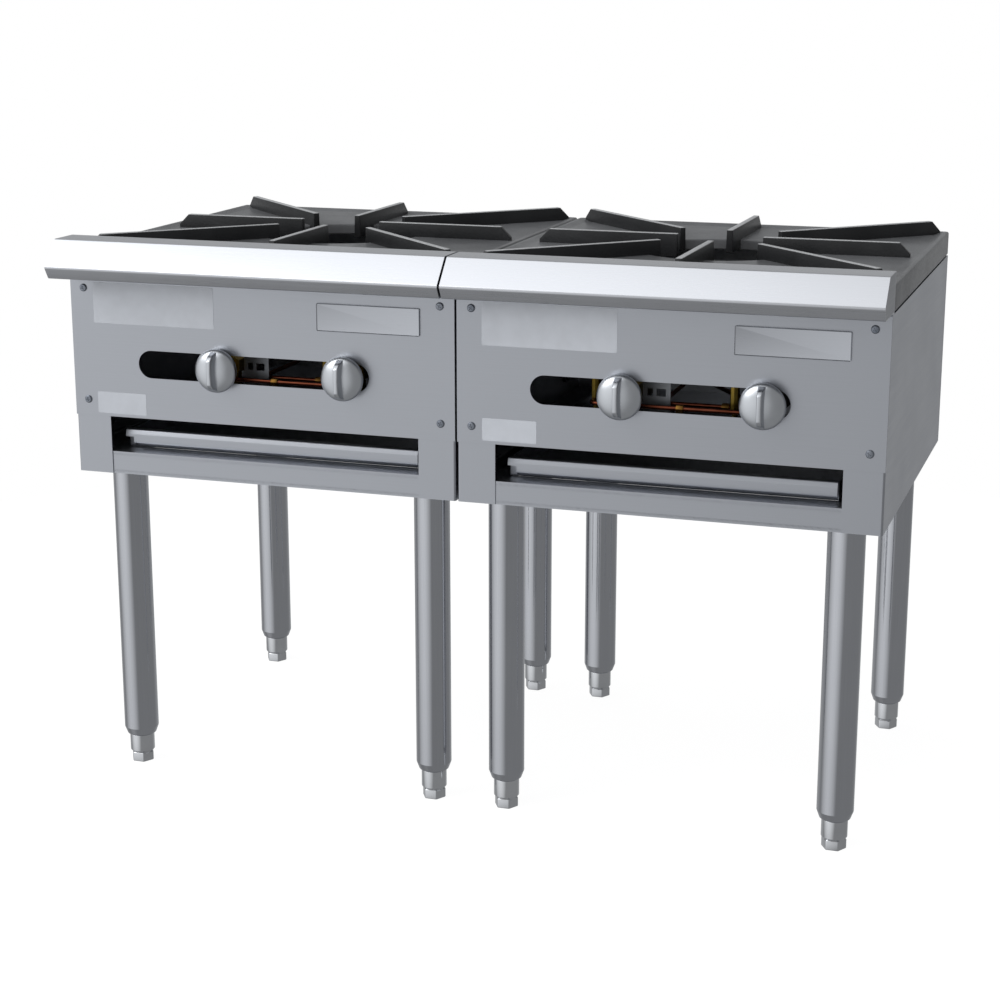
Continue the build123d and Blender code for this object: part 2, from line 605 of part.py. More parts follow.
def mixer_tube(points):
    """Cast mixing tube with a flared, bored mouth that faces the valve."""
    x, y, z = points[0]
    tube = flat_tube(points, MIXER_RADIUS, TUBE_SIDES)
    mouth = banded([(MIXER_MOUTH_RADIUS, 0), (MIXER_MOUTH_RADIUS, MIXER_MOUTH_RIM),
                    (MIXER_RADIUS, MIXER_MOUTH_LENGTH)], TUBE_SIDES)
    tube += Pos(x, y, z) * Rot(-90, 0, 0) * mouth
    return tube - spindle(x, z, (y, y + MIXER_BORE_DEPTH), MIXER_BORE, TUBE_SIDES)


def mixer_tubes():
    """Outer and inner mixing tubes, each rising into the socket under its burner."""
    socket = RING_BOTTOM - BURNER_LUG
    outer_y = BURNER_Y + outer_socket()[1]
    outer = mixer_tube([(OUTER_KNOB_X, MIXER_FRONT, CONTROL_HEIGHT), (OUTER_KNOB_X, outer_y, CONTROL_HEIGHT),
                        (OUTER_KNOB_X, outer_y, socket)])
    inner = mixer_tube([(INNER_KNOB_X, MIXER_FRONT, CONTROL_HEIGHT),
                        (INNER_KNOB_X, MIXER_FRONT + MIXER_STRAIGHT, CONTROL_HEIGHT),
                        (CENTRE_X, BURNER_Y, CONTROL_HEIGHT), (CENTRE_X, BURNER_Y, socket)])
    return [outer, inner]


def air_shutters():
    """Discs on the valve hoods that set the air at each mixer mouth."""
    discs = []
    rear = MIXER_FRONT - SEAT_GAP
    for x in (OUTER_KNOB_X, INNER_KNOB_X):
        shutter = spindle(x, CONTROL_HEIGHT, (rear - SHUTTER_THICKNESS, rear), MIXER_MOUTH_RADIUS, TUBE_SIDES)
        hood = Pos(x, CONTROL_HEIGHT) * hexagon(HOOD_FLATS + 2 * FIT)
        discs.append(shutter - along_y(hood, (VALVE_REAR, HOOD_REAR)))
    return discs


# ---- gas train ----

def manifold():
    """Gas pipe across the front, an elbow, and the rear run that ends in the gas inlet."""
    corner = Pos(MANIFOLD_REAR_X, MANIFOLD_Y, MANIFOLD_Z)
    front = along_x(Pos(MANIFOLD_Y, MANIFOLD_Z) * disc(MANIFOLD_RADIUS, TUBE_SIDES),
                    (MANIFOLD_LEFT, MANIFOLD_REAR_X))
    rear = spindle(MANIFOLD_REAR_X, MANIFOLD_Z, (MANIFOLD_Y, INLET_FRONT), MANIFOLD_RADIUS, TUBE_SIDES)
    inlet = round_spindle(MANIFOLD_REAR_X, MANIFOLD_Z, (INLET_FRONT, INLET_END), MANIFOLD_RADIUS)
    elbow = flat_tube([(-ELBOW_REACH, 0, 0), (0, 0, 0), (0, ELBOW_REACH, 0)], ELBOW_RADIUS, TUBE_SIDES)
    pipe = front + rear + inlet + corner * elbow
    pipe -= spindle(MANIFOLD_REAR_X, MANIFOLD_Z, (INLET_END - INLET_BORE_DEPTH, INLET_END), MANIFOLD_BORE,
                    TUBE_SIDES)
    for x in (OUTER_KNOB_X, INNER_KNOB_X):
        top = (MANIFOLD_Z, MANIFOLD_Z + MANIFOLD_RADIUS)
        pipe -= post(x, MANIFOLD_Y, top, NIPPLE_RADIUS + FIT)
        pipe -= post(x - PILOT_VALVE_OFFSET, MANIFOLD_Y, top, PILOT_NIPPLE_RADIUS + FIT)
    return pipe


def manifold_brackets():
    """Two plates that carry the pipe from the side channels: one at its end, one on its rear run."""
    foot = BODY_BOTTOM + CHANNEL_HEIGHT
    hole = MANIFOLD_RADIUS + FIT
    top = MANIFOLD_Z + MANIFOLD_RADIUS + BRACKET_MARGIN
    half = BRACKET_WIDTH / 2
    plate_x = (MANIFOLD_LEFT + BRACKET_MARGIN, MANIFOLD_LEFT + BRACKET_MARGIN + BRACKET_SHEET)
    plate_y = (MANIFOLD_Y - half, MANIFOLD_Y + half)
    front = slab(plate_x, plate_y, (foot, top))
    front += slab((plate_x[0], CHANNEL_INNER), plate_y, (foot, foot + BRACKET_SHEET))
    front -= along_x(Pos(MANIFOLD_Y, MANIFOLD_Z) * disc(hole, TUBE_SIDES), plate_x)
    outer_edge = RIGHT_INSIDE - SEAT_GAP
    inner_edge = RANGE_WIDTH - CHANNEL_INNER
    plate_y = (REAR_BRACKET_Y, REAR_BRACKET_Y + BRACKET_SHEET)
    rear = slab((MANIFOLD_REAR_X - half, outer_edge), plate_y, (MANIFOLD_Z - half, top))
    rear += slab((inner_edge, outer_edge), plate_y, (foot, top))
    rear += slab((inner_edge, outer_edge), (REAR_BRACKET_Y, REAR_BRACKET_Y + BRACKET_WIDTH),
                 (foot, foot + BRACKET_SHEET))
    rear -= spindle(MANIFOLD_REAR_X, MANIFOLD_Z, plate_y, hole, TUBE_SIDES)
    return [front, rear]


def gas_valves():
    """Brass quarter-turn valves: hexagonal body, bonnet, orifice hood and inlet nipple."""
    valves = []
    for x in (OUTER_KNOB_X, INNER_KNOB_X):
        place = Pos(x, CONTROL_HEIGHT)
        valve = along_y(place * hexagon(VALVE_FLATS, 30), (VALVE_FRONT, VALVE_REAR))
        valve += spindle(x, CONTROL_HEIGHT, (BONNET_FRONT, VALVE_FRONT), BONNET_RADIUS)
        valve += along_y(place * hexagon(HOOD_FLATS), (VALVE_REAR, HOOD_REAR))
        valve += post(x, MANIFOLD_Y, (MANIFOLD_Z, CONTROL_HEIGHT), NIPPLE_RADIUS)
        valve -= along_y(place * bore(STEM_RADIUS + FIT), (BONNET_FRONT, STEM_REAR + SEAT_GAP))
        valves.append(valve)
    return valves


def valve_bracket():
    """Punched plate that stands on the gas pipe beside the outer valve, with a saddle over the pipe."""
    span = (VALVE_PLATE_LEFT, VALVE_PLATE_LEFT + VALVE_PLATE_WIDTH)
    sheet = (VALVE_PLATE_FRONT, VALVE_PLATE_FRONT + VALVE_PLATE_SHEET)
    plate = slab(span, sheet, (MANIFOLD_Z, VALVE_PLATE_TOP))
    plate += slab(span, (VALVE_PLATE_FRONT, 2 * MANIFOLD_Y - VALVE_PLATE_FRONT), (MANIFOLD_Z, SADDLE_TOP))
    plate -= along_x(Pos(MANIFOLD_Y, MANIFOLD_Z) * disc(MANIFOLD_RADIUS + FIT, TUBE_SIDES), span)
    for start, end in VALVE_PLATE_HOLES:
        hole = (VALVE_PLATE_LEFT + start, VALVE_PLATE_LEFT + end)
        plate -= slab(hole, sheet, (VALVE_PLATE_HOLE_BOTTOM, VALVE_PLATE_HOLE_TOP))
    return plate


def pilot_valves():
    """Small upright brass valves that feed the pilots."""
    valves = []
    for x in (OUTER_KNOB_X, INNER_KNOB_X):
        place = (x - PILOT_VALVE_OFFSET, MANIFOLD_Y)
        valve = post(*place, (PILOT_VALVE_BOTTOM, PILOT_VALVE_TOP), PILOT_VALVE_RADIUS)
        valve += post(*place, (MANIFOLD_Z, PILOT_VALVE_BOTTOM), PILOT_NIPPLE_RADIUS)
        valves.append(valve)
    return valves


def pilot_places():
    """Pilot heads: one ahead of the outer ring, one between the ring and the centre head."""
    outer_head = (OUTER_KNOB_X + PILOT_ASIDE, BURNER_Y - OUTER_RING_OUTER - PILOT_HEAD_RADIUS - PILOT_GAP)
    inner_head = (CENTRE_X + PILOT_GAP, BURNER_Y - INNER_HEAD_RADIUS - PILOT_HEAD_RADIUS - PILOT_GAP)
    return outer_head, inner_head


def pilot_tubes():
    """Copper tubes from the pilot valves to the pilot heads."""
    outer_head, inner_head = pilot_places()
    foot = RING_TOP - PILOT_HEAD_HEIGHT
    valve_x = OUTER_KNOB_X - PILOT_VALVE_OFFSET
    rear_x = INNER_KNOB_X - PILOT_VALVE_OFFSET / 2
    front_route = [(valve_x, MANIFOLD_Y - PILOT_VALVE_RADIUS, TUBE_HEIGHT),
                   (valve_x, FRONT_TUBE_Y, TUBE_HEIGHT), (rear_x, FRONT_TUBE_Y, TUBE_HEIGHT),
                   (rear_x, MIXER_FRONT, TUBE_HEIGHT), (*inner_head, TUBE_LOW), (*inner_head, foot)]
    valve_x = INNER_KNOB_X - PILOT_VALVE_OFFSET
    rear_route = [(valve_x - PILOT_VALVE_RADIUS, MANIFOLD_Y, TUBE_HEIGHT),
                  (outer_head[0], MANIFOLD_Y, TUBE_HEIGHT), (*outer_head, TUBE_HEIGHT), (*outer_head, foot)]
    return [flat_tube(route, TUBE_RADIUS) for route in (front_route, rear_route)]


def pilot_burners():
    """Pilot heads on the ends of the copper tubes."""
    foot = RING_TOP - PILOT_HEAD_HEIGHT
    return [post(x, y, (foot, RING_TOP), PILOT_HEAD_RADIUS) for x, y in pilot_places()]


# ---- knobs and stems ----

def stem(x):
    """Valve stem, free to turn in the valve and held in the knob."""
    return round_spindle(x, CONTROL_HEIGHT, (STEM_FRONT, STEM_REAR), STEM_RADIUS)


def knob(x):
    """Domed knob with a grip ridge right across its face and a blind socket for the stem."""
    shoulder = KNOB_SKIRT + KNOB_SHOULDER
    dome = banded([(KNOB_BACK_RADIUS, 0), (KNOB_RADIUS, KNOB_SKIRT), (KNOB_SHOULDER_RADIUS, shoulder),
                   (KNOB_CROWN_RADIUS, KNOB_SKIRT + KNOB_DOME)], KNOB_SIDES)
    tip = KNOB_SKIRT + KNOB_RIDGE_REACH
    side = [(-KNOB_SHOULDER_RADIUS, KNOB_SKIRT), (-KNOB_SHOULDER_RADIUS, shoulder), (-KNOB_RIDGE_FLAT, tip),
            (KNOB_RIDGE_FLAT, tip), (KNOB_SHOULDER_RADIUS, shoulder), (KNOB_SHOULDER_RADIUS, KNOB_SKIRT)]
    ridge_plane = Plane(origin=(-KNOB_RIDGE / 2, 0, 0), x_dir=(0, 1, 0), z_dir=(1, 0, 0))
    ridge = extrude(ridge_plane * make_face(Polyline(*side, close=True)), amount=KNOB_RIDGE)
    crest = ridge.edges().filter_by(Axis.Y).sort_by(Axis.Z)[-2:]
    body = dome + chamfer(crest, KNOB_RIDGE_EDGE)
    body -= up(bore(STEM_RADIUS + FIT), (0, -KNOB_BACK - STEM_FRONT + FIT))
    return Pos(x, -KNOB_BACK, CONTROL_HEIGHT) * Rot(90, 0, 0) * body


# ---- base frame, legs and feet ----

def base_frame():
    """Side channels, front and rear cross bars and four leg gussets, welded into one frame."""
    foot = (BODY_BOTTOM, BODY_BOTTOM + GUSSET)
    rear = BACK_INNER - SHEET - BEND
    channel = along_y(folded([(SHEET, BODY_BOTTOM), (CHANNEL_INNER, BODY_BOTTOM),
                              (CHANNEL_INNER, BODY_BOTTOM + CHANNEL_HEIGHT),
                              (SHEET, BODY_BOTTOM + CHANNEL_HEIGHT)], FRAME_SHEET, BEND), (FRAME_FRONT, rear))
    gusset_depth = LEG_FRONT_Y + LEG_X
    side = channel + slab((SHEET, GUSSET_REACH), (FRAME_FRONT, gusset_depth), foot)
    side += slab((SHEET, GUSSET_REACH), (LEG_REAR_Y - LEG_X, rear), foot)
    frame = side + mirrored(side)
    frame += slab((CHANNEL_INNER, RANGE_WIDTH - CHANNEL_INNER), (FRAME_FRONT, FRAME_FRONT + CROSS_BAR), foot)
    frame += slab((CHANNEL_INNER, RANGE_WIDTH - CHANNEL_INNER), (rear - CROSS_BAR, rear), foot)
    for x, y in LEG_PLACES.values():
        frame -= post(x, y, (BODY_BOTTOM - OVERLAP, GUSSET_TOP + OVERLAP), STUD_RADIUS + FIT)
    return frame


def leg(x, y):
    """Tube with a plug and stud above, and a tapered, bored collar for the foot below."""
    bore = SHANK_RADIUS + SHANK_CLEARANCE
    tube = banded([(LEG_TAPER_RADIUS, LEG_BOTTOM), (LEG_RADIUS, LEG_TAPER_TOP), (LEG_RADIUS, BODY_BOTTOM)],
                  LEG_SIDES)
    tube -= post(0, 0, (LEG_COLLAR_TOP, BODY_BOTTOM - LEG_PLUG), LEG_RADIUS - LEG_WALL, TUBE_SIDES)
    tube -= post(0, 0, (LEG_BOTTOM, LEG_COLLAR_TOP), bore)
    tube += post(0, 0, (BODY_BOTTOM, NUT_TOP), STUD_RADIUS)
    return Pos(x, y) * tube


def leg_nut(x, y):
    nut = Pos(x, y) * hexagon(NUT_FLATS, 30) - Pos(x, y) * disc(STUD_RADIUS + FIT)
    return up(nut, (GUSSET_TOP, NUT_TOP))


def foot(x, y):
    """Levelling foot: hexagon to turn it by, barrel, and the shank that screws into the leg."""
    key = up(hexagon(FOOT_FLATS), (0, FOOT_HEX_HEIGHT))
    key = chamfer(key.faces().sort_by(Axis.Z)[0].edges(), FOOT_CHAMFER)
    barrel = post(0, 0, (FOOT_HEX_HEIGHT, FOOT_TOP), FOOT_RADIUS, TUBE_SIDES)
    shank = post(0, 0, (FOOT_TOP, SHANK_TOP), SHANK_RADIUS)
    return Pos(x, y) * (key + barrel + shank)


# ---- drip tray ----

def drip_tray():
    """Folded pan: floor, rear wall and a front wall that leans forward into a lip, with end walls."""
    section = folded([(TRAY_LIP_FRONT, TRAY_TOP), (TRAY_WALL_FRONT, TRAY_FOLD_HEIGHT),
                      (TRAY_WALL_FRONT, TRAY_FLOOR), (TRAY_REAR, TRAY_FLOOR), (TRAY_REAR, TRAY_TOP)],
                     SHEET, BEND)
    pan = along_x(section, (TRAY_LEFT, TRAY_RIGHT))
    inside_front = TRAY_WALL_FRONT + SHEET
    inside_rear = TRAY_REAR - SHEET
    inside_floor = TRAY_FLOOR + SHEET
    end = Polyline((TRAY_LIP_FRONT + SHEET, TRAY_TOP), (inside_front, TRAY_FOLD_HEIGHT),
                   (inside_front, inside_floor), (inside_rear, inside_floor),
                   (inside_rear, TRAY_TOP), close=True)
    wall = along_x(make_face(end), (TRAY_LEFT, TRAY_LEFT + SHEET))
    return pan + wall + mirrored(Pos(RANGE_WIDTH - TRAY_LEFT - TRAY_RIGHT, 0, 0) * wall)


def tray_runners():
    """Folded angles on the side channels that the tray slides on."""
    section = folded([(RUNNER_INNER, RAIL_TOP), (CHANNEL_INNER, RAIL_TOP),
                      (CHANNEL_INNER, RAIL_TOP - RUNNER_DROP)], RUNNER_SHEET, BEND)
    runner = along_y(section, (RUNNER_FRONT, TRAY_REAR))
    return [runner, mirrored(runner)]


# ---- small hardware ----

def panel_screws():
    """Pan-head screws of the control panel and the back panel."""
    screws = []
    for places, face, inward in ((screw_places(), 0, 1), (back_screw_places(), BODY_DEPTH, -1)):
        for x, z in places:
            head = sorted((face - inward * SCREW_HEAD_HEIGHT, face))
            shank = sorted((face, face + inward * SCREW_LENGTH))
            screws.append(spindle(x, z, head, SCREW_HEAD_RADIUS) + spindle(x, z, shank, SCREW_RADIUS))
    return screws


def joining_set():
    """Bolts, nuts and spacers through the two inner side panels, about the seam at x = 0."""
    inside = RANGE_GAP / 2 + SHEET
    bolts, nuts, spacers = [], [], []
    for y, z in bolt_places():
        place = Pos(y, z)
        bolt = along_x(place * disc(BOLT_RADIUS), (-inside, inside + BOLT_HEAD + BOLT_TAIL))
        bolts.append(bolt + along_x(place * hexagon(BOLT_FLATS), (-inside - BOLT_HEAD, -inside)))
        hole = place * disc(BOLT_RADIUS + FIT)
        nuts.append(along_x(place * hexagon(BOLT_FLATS) - hole, (inside, inside + BOLT_HEAD)))
        spacers.append(along_x(place * disc(WASHER_RADIUS) - hole, (-RANGE_GAP / 2, RANGE_GAP / 2)))
    return bolts, nuts, spacers


# ---- assembly ----

def one_range(joined_on_right):
    """All the pieces of one range, by name, in the range's own frame."""
    pieces = {
        "side_panel_left": side_panel(not joined_on_right),
        "side_panel_right": mirrored(side_panel(joined_on_right)),
        "control_panel": control_panel(),
        "bottom_rail": bottom_rail(),
        "back_panel": back_panel(),
        "front_nose": front_nose(),
        "top_grate": top_grate(),
        "outer_burner": outer_burner(),
        "inner_burner": inner_burner(),
        "burner_supports": burner_supports(),
        "mixer_tubes": mixer_tubes(),
        "air_shutters": air_shutters(),
        "manifold": manifold(),
        "manifold_brackets": manifold_brackets(),
        "gas_valves": gas_valves(),
        "valve_brackets": valve_bracket(),
        "pilot_valves": pilot_valves(),
        "pilot_tubes": pilot_tubes(),
        "pilot_burners": pilot_burners(),
        "outer_stem": stem(OUTER_KNOB_X),
        "inner_stem": stem(INNER_KNOB_X),
        "outer_knob": knob(OUTER_KNOB_X),
        "inner_knob": knob(INNER_KNOB_X),
        "base_frame": base_frame(),
        "legs": [leg(*place) for place in LEG_PLACES.values()],
        "leg_nuts": [leg_nut(*place) for place in LEG_PLACES.values()],
        "drip_tray": drip_tray(),
        "tray_runners": tray_runners(),
        "panel_screws": panel_screws(),
    }
    for corner, place in LEG_PLACES.items():
        pieces["foot_" + corner] = foot(*place)
    return pieces


def placed(piece, start):
    """The solids of a piece, or of a group of alike pieces, moved to where their range stands."""
    group = piece if isinstance(piece, list) else [piece]
    shift = Pos(start, -MIDDLE_Y, 0)
    return [solid for member in group for solid in (shift * member).solids()]


def write(name, solids):
    shape = solids[0] if len(solids) == 1 else Compound(children=solids)
    export_step(shape, f"parts/{name}.step")


# Alike small pieces of both ranges are kept together under one name.
SHARED = ("legs", "leg_nuts", "tray_runners", "panel_screws", "gas_valves", "valve_brackets",
          "pilot_valves", "pilot_tubes", "pilot_burners", "air_shutters")
STARTS = {"left": -(RANGE_GAP / 2 + RANGE_WIDTH), "right": RANGE_GAP / 2}
# Half way from the rounded front edge of the nose to the end of the gas inlet.
MIDDLE_Y = (front_nose().bounding_box().min.Y + INLET_END) / 2

os.makedirs("parts", exist_ok=True)
named = {}
for side, start in STARTS.items():
    for piece_name, piece in one_range(side == "left").items():
        name = piece_name if piece_name in SHARED else f"{side}_{piece_name}"
        named.setdefault(name, []).extend(placed(piece, start))
for hardware_name, group in zip(("joining_bolts", "joining_nuts", "joining_spacers"), joining_set()):
    named[hardware_name] = placed(group, 0)
for name, solids in named.items():
    write(name, solids)
print("middle y", MIDDLE_Y)
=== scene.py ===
import bmesh
import bpy
import math
from mathutils import Matrix, Vector


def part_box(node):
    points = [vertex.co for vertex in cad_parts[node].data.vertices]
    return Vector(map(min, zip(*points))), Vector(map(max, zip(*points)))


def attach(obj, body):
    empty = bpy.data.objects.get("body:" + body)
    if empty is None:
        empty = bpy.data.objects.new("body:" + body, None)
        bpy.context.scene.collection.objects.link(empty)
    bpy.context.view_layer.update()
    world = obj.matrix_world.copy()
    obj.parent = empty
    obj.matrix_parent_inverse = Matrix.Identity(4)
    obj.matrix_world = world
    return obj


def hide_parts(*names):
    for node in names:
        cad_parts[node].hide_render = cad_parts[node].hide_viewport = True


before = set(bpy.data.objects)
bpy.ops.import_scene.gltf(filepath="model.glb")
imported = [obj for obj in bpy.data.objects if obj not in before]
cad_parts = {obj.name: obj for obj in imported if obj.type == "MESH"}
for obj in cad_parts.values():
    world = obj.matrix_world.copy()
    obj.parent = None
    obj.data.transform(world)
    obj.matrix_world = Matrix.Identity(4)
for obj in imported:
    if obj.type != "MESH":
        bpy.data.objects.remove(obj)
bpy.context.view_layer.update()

MM = 0.001
SIDES = ("left", "right")
CORNERS = ("front_left", "front_right", "rear_left", "rear_right")

# Sizes in millimetres, in the frame of one range, as in the part.
RANGE_WIDTH = 457.2
BODY_DEPTH = 466.0
SHEET = 1.2                  # body panels, rail and drip pan
NOSE_SHEET = 1.5
NOSE_TOP = 632.0
CASTING_TOP = 617.5          # rim of the cast top
FIN_TOP = 630.5
FIN_FOOT = 608.0             # underside of a fin where it sits in the plate
FIN_NOSE_BOTTOM = 604.0
OPENING_RADIUS = 92.0
BURNER_Y = 245.0
BURNER_FOOT = 540.0          # top of the bars that carry the burners
CONTROL_HEIGHT = 491.5       # knob and valve axes
OUTER_KNOB_X = 182.0
INNER_KNOB_X = 332.0

# Colours that the cast top's finish blends in: wear with a painted highlight on the fin tops, and a painted
# sheen on the plate.
WORN_AND_HIGHLIGHT_IRON = (0.50, 0.505, 0.515)
PAINTED_SHEEN_IRON = (0.16, 0.163, 0.17)


# ---- camera, light and stage ----

def camera():
    """The photograph's viewpoint: a little right of the front and above, long lens."""
    lens = bpy.data.cameras.new("camera")
    lens.sensor_width = 36.0
    lens.lens = 75.34
    eye = bpy.data.objects.new("camera", lens)
    eye.location = (0.73275, -2.28582, 0.92592)
    eye.rotation_euler = (math.radians(75.629), 0.0, math.radians(18.288))
    bpy.context.scene.collection.objects.link(eye)
    bpy.context.scene.camera = eye


def soft_box(name, place, target, size, power):
    """Square studio lamp that faces the target."""
    lamp = bpy.data.lights.new(name, "AREA")
    lamp.size = size
    lamp.energy = power
    holder = bpy.data.objects.new(name, lamp)
    holder.location = place
    aim = Vector(target) - Vector(place)
    holder.rotation_euler = aim.to_track_quat("-Z", "Y").to_euler()
    bpy.context.scene.collection.objects.link(holder)
    return holder


def math_node(tree, operation, first, second=None, third=None):
    """Result of one sum; each term is a number or another node's output."""
    node = tree.nodes.new("ShaderNodeMath")
    node.operation = operation
    for index, value in enumerate((first, second, third)):
        if value is None:
            continue
        if isinstance(value, (int, float)):
            node.inputs[index].default_value = value
        else:
            tree.links.new(value, node.inputs[index])
    return node.outputs[0]


def towards(tree, ray, direction):
    """How far a ray points in a direction, from -1 to 1."""
    dot = tree.nodes.new("ShaderNodeVectorMath")
    dot.operation = "DOT_PRODUCT"
    tree.links.new(ray, dot.inputs[0])
    dot.inputs[1].default_value = Vector(direction).normalized()
    return dot.outputs["Value"]


def ramp(tree, value, low, high, bottom, top, easing="SMOOTHSTEP"):
    """Step of a value between two levels."""
    node = tree.nodes.new("ShaderNodeMapRange")
    node.interpolation_type = easing
    tree.links.new(value, node.inputs["Value"])
    for name, level in (("From Min", low), ("From Max", high), ("To Min", bottom), ("To Max", top)):
        node.inputs[name].default_value = level
    return node.outputs["Result"]


def plain_white_share(tree):
    """1 for rays that show the plain background, 0 for those that light the object."""
    path = tree.nodes.new("ShaderNodeLightPath")
    return math_node(tree, "MAXIMUM", path.outputs["Is Camera Ray"], path.outputs["Is Transmission Ray"])


def studio_world():
    """Soft studio: bright overhead and front left, quieter on the right, plain white to the camera."""
    world = bpy.data.worlds.new("studio")
    bpy.context.scene.world = world
    world.use_nodes = True
    tree = world.node_tree
    tree.nodes.clear()
    ray = tree.nodes.new("ShaderNodeTexCoord").outputs["Generated"]
    front_left = ramp(tree, towards(tree, ray, (-0.67, -0.74, 0.0)), 0.55, 1.0, 0.0, 0.66, "LINEAR")
    overhead = ramp(tree, towards(tree, ray, (-0.5, -0.3, 0.81)), 0.75, 1.0, 0.0, 1.45, "LINEAR")
    rear = ramp(tree, towards(tree, ray, (-0.4, 0.92, 0.0)), 0.3, 1.0, 0.0, 0.18)
    level = 0.28
    for glow in (front_left, overhead, rear):
        level = math_node(tree, "ADD", glow, level)
    soft = tree.nodes.new("ShaderNodeBackground")
    soft.inputs["Color"].default_value = (0.97, 0.985, 1.0, 1.0)
    tree.links.new(level, soft.inputs["Strength"])
    white = tree.nodes.new("ShaderNodeBackground")
    white.inputs["Color"].default_value = (1.0, 1.0, 1.0, 1.0)
    white.inputs["Strength"].default_value = 1.0
    mix = tree.nodes.new("ShaderNodeMixShader")
    tree.links.new(plain_white_share(tree), mix.inputs["Fac"])
    tree.links.new(soft.outputs[0], mix.inputs[1])
    tree.links.new(white.outputs[0], mix.inputs[2])
    output = tree.nodes.new("ShaderNodeOutputWorld")
    tree.links.new(mix.outputs[0], output.inputs["Surface"])


def floor():
    """Round pale floor that reads white to the camera and keeps a faint shadow."""
    mesh = bpy.data.meshes.new("floor")
    shape = bmesh.new()
    bmesh.ops.create_circle(shape, cap_ends=True, radius=1.5, segments=128)
    shape.to_mesh(mesh)
    shape.free()
    ground = bpy.data.objects.new("floor", mesh)
    bpy.context.scene.collection.objects.link(ground)
    pale = bpy.data.materials.new("floor")
    pale.use_nodes = True
    tree = pale.node_tree
    tree.nodes.clear()
    matt = tree.nodes.new("ShaderNodeBsdfDiffuse")
    matt.inputs["Color"].default_value = (0.6, 0.6, 0.6, 1.0)
    glow = tree.nodes.new("ShaderNodeEmission")
    glow.inputs["Color"].default_value = (1.0, 1.0, 1.0, 1.0)
    glow.inputs["Strength"].default_value = 1.19
    mix = tree.nodes.new("ShaderNodeMixShader")
    tree.links.new(math_node(tree, "MULTIPLY", plain_white_share(tree), 0.8), mix.inputs["Fac"])
    tree.links.new(matt.outputs[0], mix.inputs[1])
    tree.links.new(glow.outputs[0], mix.inputs[2])
    output = tree.nodes.new("ShaderNodeOutputMaterial")
    tree.links.new(mix.outputs[0], output.inputs["Surface"])
    mesh.materials.append(pale)
    ground.visible_glossy = False


# ---- finishes ----

def shader(name, **settings):
    """New material with one Principled shader and its plain settings."""
    material = bpy.data.materials.new(name)
    material.use_nodes = True
    surface = material.node_tree.nodes["Principled BSDF"]
    for socket, value in settings.items():
        surface.inputs[socket.replace("_", " ")].default_value = value
    return material, material.node_tree, surface


def stretched(tree, stretch):
    """Object coordinates scaled apart along the three axes."""
    place = tree.nodes.new("ShaderNodeTexCoord")
    mapping = tree.nodes.new("ShaderNodeMapping")
    mapping.inputs["Scale"].default_value = stretch
    tree.links.new(place.outputs["Object"], mapping.inputs["Vector"])
    return mapping.outputs["Vector"]


def grain(tree, vector, scale, detail=4.0):
    """Noise pattern, from 0 to 1."""
    noise = tree.nodes.new("ShaderNodeTexNoise")
    noise.inputs["Scale"].default_value = scale
    noise.inputs["Detail"].default_value = detail
    noise.inputs["Roughness"].default_value = 0.6
    tree.links.new(vector, noise.inputs["Vector"])
    return noise.outputs["Fac"]


def tint(tree, factor, dark, light, low=0.35, high=0.65):
    """Blend of two colours by a pattern."""
    blend = tree.nodes.new("ShaderNodeValToRGB")
    blend.color_ramp.elements[0].position = low
    blend.color_ramp.elements[0].color = (*dark, 1.0)
    blend.color_ramp.elements[1].position = high
    blend.color_ramp.elements[1].color = (*light, 1.0)
    tree.links.new(factor, blend.inputs["Fac"])
    return blend.outputs["Color"]


def relief(tree, surface, height, strength, distance):
    """Fine unevenness of a surface, from a pattern."""
    bump = tree.nodes.new("ShaderNodeBump")
    bump.inputs["Strength"].default_value = strength
    bump.inputs["Distance"].default_value = distance
    tree.links.new(height, bump.inputs["Height"])
    tree.links.new(bump.outputs["Normal"], surface.inputs["Normal"])


def brushed(name, along, tone=(0.47, 0.485, 0.52), gloss=(0.30, 0.42)):
    """Stainless sheet with a fine brushed grain along one axis and a faint mottle."""
    material, tree, surface = shader(name, Metallic=1.0)
    stretch = [900.0, 900.0, 900.0]
    stretch["xyz".index(along)] = 9.0
    lines = grain(tree, stretched(tree, stretch), 1.0)
    mottle = grain(tree, stretched(tree, (1.0, 1.0, 1.0)), 9.0, 3.0)
    both = math_node(tree, "MULTIPLY_ADD", lines, 0.6, math_node(tree, "MULTIPLY", mottle, 0.4))
    dark = tuple(c * 0.955 for c in tone)
    light = tuple(c * 1.03 for c in tone)
    tree.links.new(tint(tree, both, dark, light), surface.inputs["Base Color"])
    tree.links.new(ramp(tree, both, 0.3, 0.7, *gloss), surface.inputs["Roughness"])
    relief(tree, surface, lines, 0.045, 0.0002)
    return material


def over(tree, colour, share, paint):
    """A plain colour laid over another by a share."""
    blend = tree.nodes.new("ShaderNodeMix")
    blend.data_type = "RGBA"
    tree.links.new(share, blend.inputs["Factor"])
    tree.links.new(colour, blend.inputs["A"])
    blend.inputs["B"].default_value = (*paint, 1.0)
    return blend.outputs["Result"]


